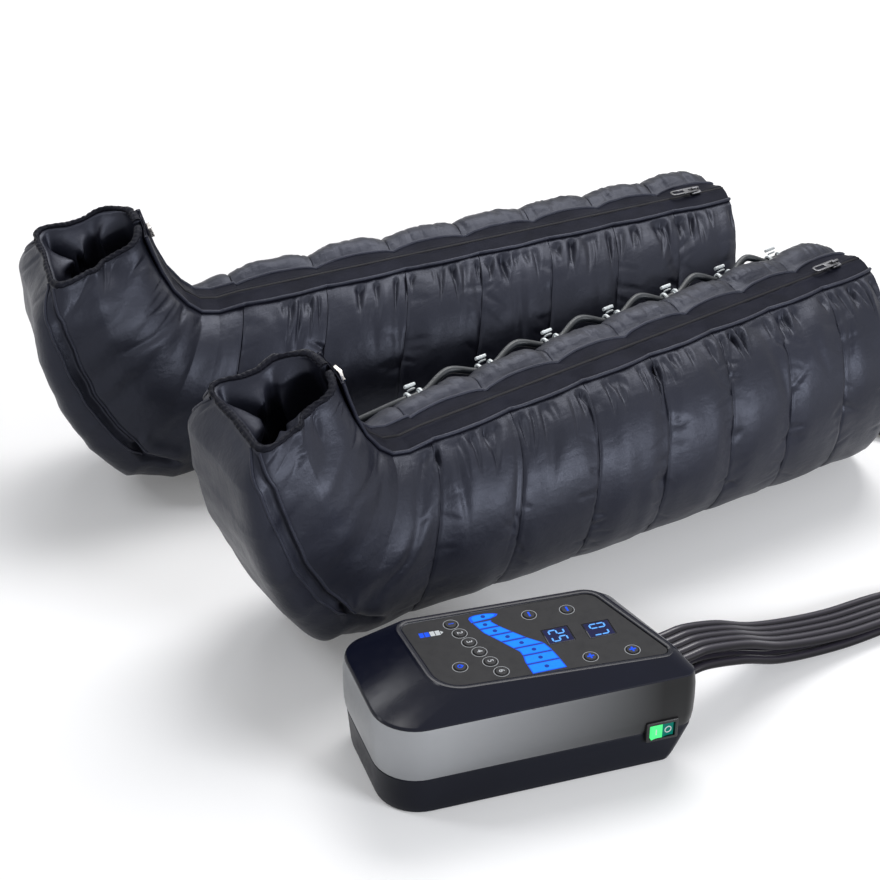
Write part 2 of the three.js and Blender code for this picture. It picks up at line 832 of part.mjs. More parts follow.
function upperCase() {
  const rings = [
    bodyRing(0, unitPartingHeight + gap / 2),
    bodyRing(-unitBelly, mix(unitPartingHeight, unitEdgeHeight, 0.55)),
    bodyRing(0, unitEdgeHeight),
    panelRing(-unitWall, unitTopHeight),
    panelRing(0, unitTopHeight),
    panelRing(0, ledgeTop),
    panelRing(ledgeWidth, ledgeTop),
    panelRing(ledgeWidth, ledgeTop - ledgeThickness),
    panelRing(0, ledgeTop - ledgeThickness),
    bodyRing(unitWall, unitEdgeHeight - unitWall),
    bodyRing(unitWall, unitPartingHeight + gap / 2),
  ];
  return bodyFromLoops(rings, true);
}

function lowerCase() {
  const rings = [
    bodyRing(unitBaseInset, 0),
    bodyRing(unitBaseInset / 2, unitBaseInset / 2),
    bodyRing(unitBaseInset / 4, unitPartingHeight / 2),
    bodyRing(0, unitPartingHeight - gap / 2),
    bodyRing(unitWall, unitPartingHeight - gap / 2),
    bodyRing(unitBaseInset / 4 + unitWall, unitPartingHeight / 2),
    bodyRing(unitBaseInset / 2 + unitWall, unitBaseInset / 2 + floorThickness),
    bodyRing(unitBaseInset + unitWall, floorThickness),
  ];
  return bodyFromRings(rings);
}

const unit = new THREE.Group();
unit.name = "control_unit";
unit.position.set(unitX, unitY, 0);
unit.rotation.z = unitTurn;
root.add(unit);

// Openings in the case for the rocker frame and the hose plugs
const rockerX = rightX - rockerInset;
const frameWidth = rockerWidth + rockerFrameBar * 2;
const frameHeight = rockerHeight + rockerFrameBar * 2;
const frameMiddleY = frontY + rockerFrameDepth / 2 - rockerFrameProud - unitBelly;
const frameHole = boxSolid(
  frameWidth + gap * 2,
  rockerFrameDepth * 2,
  frameHeight + gap * 2,
  rockerX,
  frontY,
  rockerZ,
);
const plugTurn = Math.atan2(unitRightTaper, unitDepth);
const plugSideX = rightX - (unitRightTaper * (plugY - frontY)) / unitDepth;
const plugMiddleX = plugSideX + (plugProud - plugDepth / 2) * Math.cos(plugTurn);
const plugMiddleY = plugY + (plugProud - plugDepth / 2) * Math.sin(plugTurn);
const plugHoles = [plugLowZ, plugHighZ].map((z) => {
  const hole = new THREE.BoxGeometry(plugDepth * 2, plugWidth + gap * 2, plugHeight + gap * 2);
  hole.rotateZ(plugTurn);
  hole.translate(plugMiddleX, plugMiddleY, z);
  return toManifold(hole);
});

const upper = toManifold(upperCase()).subtract(frameHole).subtract(plugHoles[0]).subtract(plugHoles[1]);
const lower = toManifold(lowerCase()).subtract(frameHole);
unit.add(meshOf("unit_upper_case", fromManifold(upper), 0x20222c, 0.3));
unit.add(meshOf("unit_lower_case", fromManifold(lower), 0x14141a, 0.4));

// Rocker switch
const frameSolid = boxSolid(frameWidth, rockerFrameDepth, frameHeight, rockerX, frameMiddleY, rockerZ);
const frameEye = boxSolid(rockerWidth, rockerFrameDepth * 2, rockerHeight, rockerX, frameMiddleY, rockerZ);
unit.add(meshOf("unit_rocker_frame", fromManifold(frameSolid.subtract(frameEye)), 0x08080a, 0.4));

function rockerShape() {
  const half = rockerWidth / 2 - rockerEndGap;
  const shape = new THREE.Shape();
  shape.moveTo(-half, rockerDepth - rockerPivotDepth);
  shape.lineTo(-half, -rockerPivotDepth - rockerTilt);
  shape.lineTo(0, -rockerPivotDepth);
  shape.lineTo(half, -rockerPivotDepth + rockerTilt);
  shape.lineTo(half, rockerDepth - rockerPivotDepth);
  shape.closePath();
  const tall = rockerHeight - gap * 2;
  const geometry = new THREE.ExtrudeGeometry(shape, { depth: tall, bevelEnabled: false });
  geometry.translate(0, 0, -tall / 2);
  return geometry;
}

const rocker = meshOf("unit_rocker", rockerShape(), 0x1f7f74, 0.3);
rocker.position.set(rockerX, frameMiddleY - rockerFrameDepth / 2 + rockerPivotDepth, rockerZ);
unit.add(rocker);

// Hose plugs
[["near", plugLowZ], ["far", plugHighZ]].forEach(([side, z]) => {
  const block = new THREE.BoxGeometry(plugDepth, plugWidth, plugHeight);
  const plug = meshOf(`${side}_hose_plug`, block, 0x2a2a30, 0.5);
  plug.position.set(plugMiddleX, plugMiddleY, z);
  plug.rotation.z = plugTurn;
  unit.add(plug);
});

// Keys and displays
const keys = [
  ...modeKeyShares.map((shares, i) => [`unit_mode_key_${i + 1}`, shares]),
  ["unit_power_key", powerKeyShares],
  ["unit_time_minus_key", timeKeyShares.minus],
  ["unit_pressure_minus_key", pressureKeyShares.minus],
  ["unit_time_plus_key", timeKeyShares.plus],
  ["unit_pressure_plus_key", pressureKeyShares.plus],
].map(([name, shares]) => [name, ...panelPlace(shares)]);
const displays = [
  ["unit_time_display", timeKeyShares.display],
  ["unit_pressure_display", pressureKeyShares.display],
].map(([name, shares]) => [name, ...panelPlace(shares)]);
const overlayBottom = ledgeTop + gap;
const overlayTop = overlayBottom + panelThickness;

function keyShape() {
  const geometry = new THREE.LatheGeometry(
    [
      new THREE.Vector2(0, overlayTop + keyProud - keyHeight),
      new THREE.Vector2(keyRadius, overlayTop + keyProud - keyHeight),
      new THREE.Vector2(keyRadius, overlayTop + keyProud - keyCorner),
      new THREE.Vector2(keyRadius - keyCorner, overlayTop + keyProud),
      new THREE.Vector2(0, overlayTop + keyProud),
    ],
    keySides,
  );
  geometry.rotateX(quarterTurn);
  return geometry;
}

for (const [name, x, y] of keys) {
  const key = meshOf(name, keyShape(), 0x50505a, 0.5);
  key.position.set(x, y, 0);
  unit.add(key);
}

function displayRing(x, y, room, z) {
  const acrossHalf = displayWidth / 2 + room;
  const backHalf = displayLength / 2 + room;
  return ringOf(x - acrossHalf, x + acrossHalf, y - backHalf, y + backHalf, displayCorner, z);
}

for (const [name, x, y] of displays) {
  const rings = [displayRing(0, 0, 0, overlayTop - displayHeight), displayRing(0, 0, 0, overlayTop)];
  const display = meshOf(name, bodyFromRings(rings), 0x06060a, 0.15);
  display.position.set(x, y, 0);
  unit.add(display);
}

function overlay() {
  const shape = new THREE.Shape(panelRing(gap, 0).map((p) => new THREE.Vector2(p.x, p.y)));
  for (const [, x, y] of keys) {
    const room = keyRadius + loosePinGap;
    const ring = Array.from({ length: keySides }, (_, i) => {
      const angle = (-i / keySides) * wholeTurn;
      return new THREE.Vector2(x + room * Math.cos(angle), y + room * Math.sin(angle));
    });
    shape.holes.push(new THREE.Path(ring));
  }
  for (const [, x, y] of displays) {
    const ring = displayRing(x, y, gap, 0);
    shape.holes.push(new THREE.Path(ring.map((p) => new THREE.Vector2(p.x, p.y)).reverse()));
  }
  const geometry = new THREE.ExtrudeGeometry(shape, { depth: panelThickness, bevelEnabled: false });
  geometry.translate(0, 0, overlayBottom);
  return geometry;
}

unit.add(meshOf("unit_overlay", overlay(), 0x464646, 0.7));

// Inside
const boardTop = overlayTop - boardDrop;
const boardRings = [boardTop - boardThickness, boardTop].map((z) => panelRing(boardMargin, z));
unit.add(meshOf("unit_circuit_board", bodyFromRings(boardRings), 0x1f5a34, 0.6));

function pumpRing(inset, z) {
  const x = pumpWidth / 2 - inset;
  const y = pumpDepth / 2 - inset;
  return ringOf(-x, x, -y, y, pumpCorner - inset, z);
}

const pumpBottom = floorThickness + gap;
const pump = meshOf(
  "unit_air_pump",
  bodyFromRings([
    pumpRing(0, pumpBottom),
    pumpRing(0, pumpBottom + pumpHeight - pumpCorner / 2),
    pumpRing(pumpCorner / 2, pumpBottom + pumpHeight),
  ]),
  0x55585f,
  0.5,
);
pump.position.set(pumpX, pumpY, 0);
unit.add(pump);

root.position.set(-originX, -originY, 0);

export default root;
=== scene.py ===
import math

import bmesh
import bpy
import numpy as np
from mathutils import Matrix, Vector


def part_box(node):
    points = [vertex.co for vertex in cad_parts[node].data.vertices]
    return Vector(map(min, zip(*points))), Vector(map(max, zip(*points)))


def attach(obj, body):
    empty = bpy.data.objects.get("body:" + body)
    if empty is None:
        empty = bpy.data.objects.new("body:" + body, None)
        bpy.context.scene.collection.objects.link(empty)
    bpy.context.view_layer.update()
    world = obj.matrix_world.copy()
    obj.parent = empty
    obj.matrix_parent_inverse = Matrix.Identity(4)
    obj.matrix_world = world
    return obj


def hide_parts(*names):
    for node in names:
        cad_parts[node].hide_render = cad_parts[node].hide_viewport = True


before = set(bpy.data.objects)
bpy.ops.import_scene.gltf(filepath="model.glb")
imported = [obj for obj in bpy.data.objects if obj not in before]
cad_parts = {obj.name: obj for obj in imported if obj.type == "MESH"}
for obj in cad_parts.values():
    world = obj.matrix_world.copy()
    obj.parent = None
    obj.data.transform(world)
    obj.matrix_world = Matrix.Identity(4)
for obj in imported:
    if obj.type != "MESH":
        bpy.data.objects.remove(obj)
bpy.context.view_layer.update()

bl_info = {
    "name": "Compression boots",
    "version": (1, 0, 0),
    "blender": (4, 5, 0),
    "location": "View3D > Sidebar > Boots",
    "description": "Dresses a pair of air boots, their hoses and their control unit",
    "category": "Object",
}

BODY = "assembly"
ORIGIN = np.array([196.7, 59.7, 0.0])
TURN = math.pi * 2
RIGHT = math.pi / 2
SORT_WAY = Vector((0.618, 0.3247, 0.7244))

# Boot, in millimetres, as the solid model has it. A place is (x, z).
CHAMBERS = 7
SEAMS = np.concatenate([[0.0], np.cumsum(102.1 - 3.8 * np.arange(CHAMBERS))])
SEAM_GAP = 0.5 / 2 / 102.1
LEG = SEAMS[-1]
ANKLE_RADIUS, THIGH_RADIUS = 107.0, 128.0
ANKLE_HALF_WIDTH = 0.9 * ANKLE_RADIUS
LEAN = 0.24
TOE_TOP, TOE_LOW, TOE_HALF_WIDTH = (-78, 316), (-208, 284), 79
FOOT_SHARES = {
    "instep_x": [0, 0.06, 0.14, 0.25, 0.39, 0.54, 0.73, 1],
    "instep_z": [0, 0.21, 0.45, 0.7, 0.89, 1.01, 1.04, 1],
    "sole_x": [0, -0.035, -0.02, 0.06, 0.19, 0.39, 0.7, 1],
    "sole_z": [0, 0.12, 0.3, 0.51, 0.72, 0.91, 0.99, 1],
    "width": [0, 0.18, 0.38, 0.6, 0.82, 1, 1.06, 1],
}
FOOT_STEPS = 7
BOOTS = {"near": (0.0, 0.0, 0.0, 1.0), "far": (-34.0, 227.9 + math.sin(0.22) * LEG * 1.04, -0.22, 1.04)}
LOOM_ANGLES = {"near": 0.82, "far": 0.15}
LOOM_STAND_OFF = 15.0

# Padded cells: lengths in millimetres. A swelling or a draw is (height, place, spread).
TAPE_EDGE, TAPE_SIDE = 26, 29
CELL_HALF, CELL_EDGE_HALF = 15, 4
SEAM_DRAW, STITCH_DRAW, TOE_DRAW, THIGH_DRAW = (3.8, 0, 19), (1.0, 0, 2.2), (11.5, 0, 20), (3.5, 0, 8)
FALL_REACH, LONG_FALL_REACH, SLANT_REACH, GATHER_REACH, TOE_REACH = 50, 130, 80, 30, 62
DEEPEST_FOLD, HIGHEST_FOLD = 11, -6.5
ROLL_HEIGHT, ROLL_ANGLE, ROLL_SPREAD = 20, 1.08, 0.22
RIM_SAGS = ((25, -3.6, 0.62), (14, 0.08, 0.5), (5, -1.6, 0.4))
LINING_LOBES = ((1.0, -0.1, 0.42), (0.9, -1.45, 0.4), (0.7, 0.85, 0.3), (0.8, -2.95, 0.6))
LOBE_HEIGHT = 26
SOLE_GROOVE, SOLE_PADS, HEEL_TUCK = (5.2, 0, 4.6), (-3.2, 34, 24), ((8.0, 0, 5), (-5.0, 13, 9))
SOLE_SEAM = (
    [-1, -0.98, -0.85, -0.73, -0.61, -0.475, -0.37, -0.3], [-2.12, -2.2, -2.7, -2.86, -2.92, -2.9, -2.86, -2.82],
)
SOLE_END = -0.29

# Half of the placket's section, from its edge inwards: (distance from the middle, depth)
PLACKET_HALF = ((28, 0.2), (27.4, -0.3), (24, -0.35), (20, -0.2), (12, 0.1), (6.5, -0.35), (5, -0.9), (3.4, -0.5))
PLACKET = [(-y, depth) for y, depth in PLACKET_HALF] + list(PLACKET_HALF[::-1])
# The coil's section: (distance from the middle, depth, share of a tooth). The binding's: (share of the wall, height)
COIL = ((-2.6, 0.9, 0), (-2.2, -1.1, 0.7), (0, -1.45, 0.5), (2.2, -1.1, 0.7), (2.6, 0.9, 0))
BINDING = ((-0.9, 0.1), (-1.02, 1.6), (-0.8, 3.1), (-0.3, 3.9), (0.3, 3.9), (0.8, 3.0), (1.0, 1.5), (0.9, 0.1))
STITCH = 7.5
TRIM_STEPS, COIL_STEPS, SOLE_STEPS, BAND_STEPS, ROUTE_STEPS = 420, 1500, 200, 260, 150

# Routes of the flat hose bands, from each boot to the control unit
BANDS = {
    "near": [
        (648.4, 103.5, 99.7), (656, 92, 92), (672, 58, 62), (690, 16, 26), (712, -30, 7), (752, -80, 5.2),
        (806, -130, 5.2), (864, -178, 5.2), (906, -238, 5.2), (898, -314, 5.2), (838, -368, 5.2),
        (750, -382, 5.2), (650, -362, 5.2), (548, -332, 5.2), (446, -313, 5.2), (350, -309, 8),
        (262, -308, 24), (205, -311.6, 49), (157, -312.3, 62), (141, -312.5, 62), (119.2, -312.9, 62),
    ],
    "far": [
        (647.4, 330.2, 103.8), (651.5, 319.3, 97.2), (664, 278, 62), (682, 222, 28), (710, 150, 8),
        (744, 82, 5.2), (788, 22, 5.2), (850, -38, 5.2), (922, -92, 5.2), (980, -160, 5.2),
        (1004, -246, 5.2), (980, -342, 5.2), (908, -418, 5.2), (810, -452, 5.2), (742, -450, 11),
        (676, -426, 16.8), (612, -388, 16.8), (540, -348, 16.8), (446, -316, 16.8), (350, -309, 21.5),
        (262, -308, 42), (205, -311.6, 69), (157, -312.3, 82), (141, -312.5, 82), (119.2, -312.9, 82),
    ],
}
TUBES, TUBE_PITCH, TUBE_RADIUS, TUBE_WEB = 5, 10.0, 4.5, 1.0
TUBE_ARC = 0.013178  # The way over one tube, in metres
PLUG_LEVELS = {"near": 62, "far": 82}

# Control unit, in its own millimetres
UNIT_PLACE = Matrix.Translation(((-24.4 - ORIGIN[0]) / 1000, (-270.1 - ORIGIN[1]) / 1000, 0))
UNIT = UNIT_PLACE @ Matrix.Rotation(-0.2387, 4, "Z")
UNIT_CORNERS = [(118, 76), (-164, 76), (-158, -76), (158, -76)]
UNIT_RADII = [22, 32, 44, 11]
SIDE_SLANT, PLUG_X, PLUG_Y = math.atan2(40, 152), 158 - 40 * 66 / 152, -10
PANEL_CORNERS = [(97.96, 60.8), (-102.7, 67.64), (-91.64, -38), (138.09, -53.96)]
PANEL_RADII = [16, 9, 30, 7]
OVERLAY_TOP, OVERLAY_THICK = 118.8, 2.4
CASE_WALL = [
    (0, 45.175), (-1.4, 50), (-2.6, 60), (-3, 76), (-2.6, 92), (-1.4, 102), (-0.8, 105.6), (-0.2, 107.2), (1.2, 108.4),
]
CASE_LIP = [(-8.5, 118.4), (-7, 119.2), (-5.6, 120), (-3.6, 120.2), (-1.4, 120), (-0.3, 119.4), (0, 118.4)]
BASE_WALL = [
    (6.4, 0), (4.6, 0.5), (3.4, 1.8), (2.8, 5), (2.2, 10), (1.4, 22), (0.7, 34), (0.2, 41), (0, 43.4),
    (0.7, 44.825), (3, 44.825), (5.5, 22), (8, 9), (13, 4),
]
BASE_TOP, BASE_DRAW_IN = 41, 14
SWITCH_X, SWITCH_Z = 120, 47
SWITCH_HOLE = ((33.8, 24, 23.8), (SWITCH_X, -76, SWITCH_Z))

# Places on the panel: shares of the way from left to right and from front to back
MODE_KEYS = [(0.237, 0.885), (0.243, 0.735), (0.251, 0.585), (0.26, 0.43), (0.27, 0.27), (0.28, 0.11)]
KEY_RADIUS, KEY_HOLE_RADIUS = 5.8, 6.3
KEYS = {f"mode_key_{k + 1}": place for k, place in enumerate(MODE_KEYS)} | {
    "power_key": (0.133, 0.26), "time_minus_key": (0.617, 0.835), "pressure_minus_key": (0.804, 0.82),
    "time_plus_key": (0.675, 0.12), "pressure_plus_key": (0.864, 0.125),
}
DISPLAYS = {"time_display": (0.644, 0.485, "25"), "pressure_display": (0.837, 0.48, "07")}
SEGMENTS = {"0": "abcdef", "2": "abged", "5": "afgcd", "7": "abc"}

# The leg sign: (y, x) along its two sides, the outline of its foot, and where its lengths meet
LEG_LEFT = [
    (56.3, -34.2), (51.4, -32.6), (31.4, -26.7), (18.1, -18.1), (5.6, -10.6), (-7.4, -2.6), (-15.5, -1.9),
    (-23.8, -3.2), (-43.5, -2.1),
]
LEG_RIGHT = [
    (51.5, -12.4), (45.6, -13.4), (36.2, -7.8), (23.1, 2.2), (11.1, 11.7), (-0.9, 24.2), (-11.7, 27.8),
    (-25.7, 30.4), (-43.5, 32.6),
]
FOOT_SIGN = [
    (-34, 56.6), (-31.5, 59.4), (-26, 60.6), (-16, 60.4), (-7, 58.4), (-3.4, 56), (-6, 53), (-12.6, 51), (-33, 49.6),
]
LEG_PARTS = [49, 37.2, 24.6, 12, -1.4, -14.6, -28.4, -43.5]

# Stage: each lamp has a name, a place, a target, a width, a height, a power and a colour
LAMPS = (
    ("top lamp", (0.8, 0.75, 2.2), (0, 0, 0.1), 1.6, 1.1, 38, (1, 0.99, 0.98)),
    ("front lamp", (0.55, -2.25, 1.0), (-0.05, 0, 0.1), 0.9, 0.6, 38, (0.95, 0.97, 1)),
    ("left lamp", (-1.5, 0.65, 1.75), (-0.25, -0.2, 0.1), 0.3, 1.1, 9, (0.95, 0.97, 1)),
    ("back lamp", (-0.04, 1.32, 1.57), (-0.345, -0.3, 0.11), 0.5, 0.22, 4, (0.97, 0.98, 1)),
)
CAMERA_PLACE = (-0.8252 - ORIGIN[0] / 1000, -1.4366 - ORIGIN[1] / 1000, 1.2258)
CAMERA_DOWN, CAMERA_TURN = 31.670, -31.334
FLOOR_SIZE, FLOOR_DROP, ROOM_LEVEL = 14, 0.0006, 0.32
FLOOR_COLOUR, FLOOR_GLOW, FAR_FLOOR_GLOW, FLOOR_BOUNCE = (0.86, 0.86, 0.87), 0.14, 0.8, 0.5


# Shaders


class Value:
    """A shader socket that takes part in sums."""

    def __init__(self, shader, socket):
        self.shader, self.socket = shader, socket

    def __add__(self, other):
        return self.shader.math("ADD", self, other)

    def __sub__(self, other):
        return self.shader.math("SUBTRACT", self, other)

    def __rsub__(self, other):
        return self.shader.math("SUBTRACT", other, self)

    def __mul__(self, other):
        return self.shader.math("MULTIPLY", self, other)

    __radd__, __rmul__ = __add__, __mul__


class Shader:
    """The nodes of a material or the world: node() makes them, and math() the sums on their sockets."""

    def __init__(self, owner, output="ShaderNodeOutputMaterial"):
        owner.use_nodes = True
        self.owner, self.tree = owner, owner.node_tree
        self.tree.nodes.clear()
        self.output = self.tree.nodes.new(output)

    def node(self, kind, settings=None, **values):
        made = self.tree.nodes.new(kind)
        for key, value in (settings or {}).items():
            setattr(made, key, value)
        for key, value in values.items():
            self.put(made.inputs[key.replace("_", " ")], value)
        return made

    def put(self, socket, value):
        if isinstance(value, Value):
            self.tree.links.new(value.socket, socket)
        else:
            socket.default_value = (*value, 1) if socket.type == "RGBA" else value

    def out(self, made, name=0):
        return Value(self, made.outputs[name])

    def math(self, operation, *values):
        made = self.node("ShaderNodeMath", {"operation": operation})
        for socket, value in zip(made.inputs, values):
            self.put(socket, value)
        return self.out(made)

    def object_place(self, scale=(1, 1, 1), turn=(0, 0, 0)):
        place = self.out(self.node("ShaderNodeTexCoord"), "Object")
        return self.out(self.node("ShaderNodeMapping", Vector=place, Scale=scale, Rotation=turn))

    def cloth_place(self, scale=(1, 1, 1)):
        place = self.out(self.node("ShaderNodeUVMap", {"uv_map": "Cloth"}))
        return self.out(self.node("ShaderNodeMapping", Vector=place, Scale=scale))

    def part(self, place, axis):
        return self.out(self.node("ShaderNodeSeparateXYZ", Vector=place), axis)

    def noise(self, place, scale, detail=2.0, roughness=0.5):
        made = self.node("ShaderNodeTexNoise", Vector=place, Scale=scale, Detail=detail, Roughness=roughness)
        return self.out(made, "Fac")

    def waves(self, place, scale, direction="X"):
        settings = {"wave_type": "BANDS", "bands_direction": direction}
        return self.out(self.node("ShaderNodeTexWave", settings, Vector=place, Scale=scale, Detail=1.0), "Fac")

    def between(self, share, low, high):
        made = self.node("ShaderNodeMix", {"data_type": "RGBA"}, Factor=share)
        self.put(made.inputs[6], low)
        self.put(made.inputs[7], high)
        return self.out(made, 2)

    def mottled(self, share, colour, low, high):
        """A colour that goes from a low level to a high one."""
        return self.between(share, tint(colour, low), tint(colour, high))

    def ramp(self, share, low, high):
        return self.out(self.node("ShaderNodeMapRange", Value=share, From_Min=low, From_Max=high))

    def bump(self, height, depth, before=None):
        values = {"Height": height, "Strength": 1.0, "Distance": depth}
        if before is not None:
            values["Normal"] = before
        return self.out(self.node("ShaderNodeBump", **values))

    def ray(self, kind):
        return self.out(self.node("ShaderNodeLightPath"), f"Is {kind} Ray")

    def seen(self):
        """1 where the camera, a reflection or glass sees it."""
        glass = self.math("MAXIMUM", self.ray("Glossy"), self.ray("Transmission"))
        return self.math("MAXIMUM", self.ray("Camera"), glass)

    def surface(self, made):
        self.put(self.output.inputs["Surface"], self.out(made))
        return self.owner

    def finish(self, **values):
        return self.surface(self.node("ShaderNodeBsdfPrincipled", **values))


def tint(colour, level):
    return [c * level for c in colour]


def nylon(s, colour, roughness=0.36, level=1.0):
    cloth = s.cloth_place()
    place = s.object_place()
    weave = s.waves(cloth, 420, "X") * s.waves(cloth, 420, "Y")
    crumple = s.noise(place, 30, 4, 0.6)
    pleat = s.noise(s.cloth_place((115, 9, 1)), 1.0, 3, 0.55)
    slant = s.noise(s.object_place((14, 60, 30), (0.5, 0.3, 0.6)), 1.0, 3, 0.6)
    near_zip = 1 - s.ramp(s.part(cloth, "Y"), 0.025, 0.11)
    shade = s.mottled(s.ramp(s.noise(place, 6, 3), 0.3, 0.75), tint(colour, level), 0.78, 1.3)
    bump = None
    for height, depth in ((crumple, 0.0012), (pleat * near_zip, 0.0006), (slant, 0.0009), (weave, 0.00004)):
        bump = s.bump(height, depth, bump)
    return s.finish(
        Base_Color=shade, Roughness=roughness + 0.14 * s.ramp(crumple, 0.3, 0.8), Normal=bump,
        Specular_IOR_Level=0.36, Specular_Tint=(0.76, 0.81, 1.0),
    )


def woven(s, colour, ribs, roughness):
    cloth = s.cloth_place()
    rib = s.waves(cloth, ribs, "X")
    cross = s.waves(cloth, ribs * 0.8, "DIAGONAL")
    wear = s.noise(s.object_place(), 34, 4, 0.6)
    bump = s.bump(rib * 0.6 + cross * 0.4, 0.00012)
    return s.finish(
        Base_Color=s.mottled(s.ramp(wear, 0.35, 0.8), colour, 0.75, 1.5), Roughness=roughness - 0.12 * wear,
        Normal=s.bump(wear, 0.0012, bump), Specular_IOR_Level=0.07, Specular_Tint=(0.7, 0.76, 1.0),
    )


def rubber(s, colour, roughness, coat, gloss=0.5, tube=0.0):
    """Soft hose. With a tube's measure round it in metres, the coat shines on the top of each tube alone, and the
    colour falls to painted shade in the grooves between the tubes.
    """
    shade = s.mottled(s.noise(s.cloth_place((3, 60, 1)), 1.5, 3), colour, 0.82, 1.2)
    dust = s.noise(s.object_place(), 150, 3, 0.7)
    if tube:
        crest_and_groove_shade = s.waves(s.cloth_place(), TURN / 20 / tube, "Y")
        # Painted shade: away from each tube's top the colour falls to 0.15 of itself, darkest in the grooves between
        # tubes
        shade = s.between(crest_and_groove_shade, tint(colour, 0.15), shade)
        coat = crest_and_groove_shade * crest_and_groove_shade * coat
    return s.finish(
        Base_Color=shade, Roughness=roughness + 0.12 * dust, Normal=s.bump(dust, 0.00012), Coat_Weight=coat,
        Coat_Roughness=0.25, Specular_IOR_Level=gloss,
    )


def moulded(s, colour, roughness, grain=1800, depth=0.00003, coat=0.0, metallic=0.0, gloss=0.5, painted_light_sweep=None):
    """Moulded plastic or paint. A painted light gradient is (x, y, shift, low, high): the colour's level changes along
    the unit's width, painted sheen at one end and painted shade at the other.
    """
    place = s.object_place()
    texture = s.noise(place, grain, 2, 0.6)
    cloud = s.noise(place, 14, 3)
    wear = s.noise(place, 90, 4, 0.7)
    if painted_light_sweep:
        x, y, shift, low, high = painted_light_sweep
        across = s.part(place, "X") * x + s.part(place, "Y") * y + shift
        # Painted light: the colour runs from high times itself at the unit's left to low times itself at its right, a
        # painted sheen fading to painted shade
        shade = s.mottled(s.ramp(across, -0.1, 0.12), colour, high, low)
    else:
        shade = s.mottled(s.ramp(cloud, 0.25, 0.8), colour, 0.88, 1.12)
    return s.finish(
        Base_Color=shade, Roughness=roughness + 0.08 * s.ramp(wear, 0.45, 0.75) + 0.04 * cloud,
        Normal=s.bump(texture, depth), Metallic=metallic, Coat_Weight=coat, Coat_Roughness=0.12,
        Specular_IOR_Level=gloss,
    )


def metal(s, colour, roughness):
    brushed = s.noise(s.object_place((30, 400, 400)), 1.0, 4, 0.65)
    tarnish = s.noise(s.object_place(), 220, 3)
    return s.finish(
        Base_Color=s.mottled(s.ramp(tarnish, 0.4, 0.75), colour, 1, 0.6), Metallic=1.0,
        Roughness=roughness + 0.15 * brushed, Normal=s.bump(brushed, 0.00005),
    )


def lit(s, colour, strength=1.0):
    glow = s.ramp(s.noise(s.object_place(), 260, 2), 0.3, 0.75)
    return s.finish(
        Base_Color=tint(colour, 0.1), Emission_Color=s.mottled(glow, colour, 0.86, 1), Emission_Strength=strength,
        Roughness=0.5, Specular_IOR_Level=0.1,
    )


def backdrop(s, colour, glow, far_glow, bounce):
    """A pale surface that adds a little light of its own where the camera, a reflection or glass sees it."""
    shade = s.mottled(s.noise(s.object_place(), 3, 2), colour, 0.99, 1)
    bounced = s.between(s.ray("Diffuse"), shade, tint(colour, bounce))
    place = s.object_place()
    x, y = s.part(place, "X"), s.part(place, "Y")
    away = s.ramp(x * x + y * y, 0.9, 5.0)
    both = s.node("ShaderNodeAddShader")
    s.put(both.inputs[0], s.out(s.node("ShaderNodeBsdfDiffuse", Color=bounced)))
    light = s.node("ShaderNodeEmission", Color=(1, 1, 1), Strength=s.seen() * (glow + far_glow * away))
    s.put(both.inputs[1], s.out(light))
    return s.surface(both)


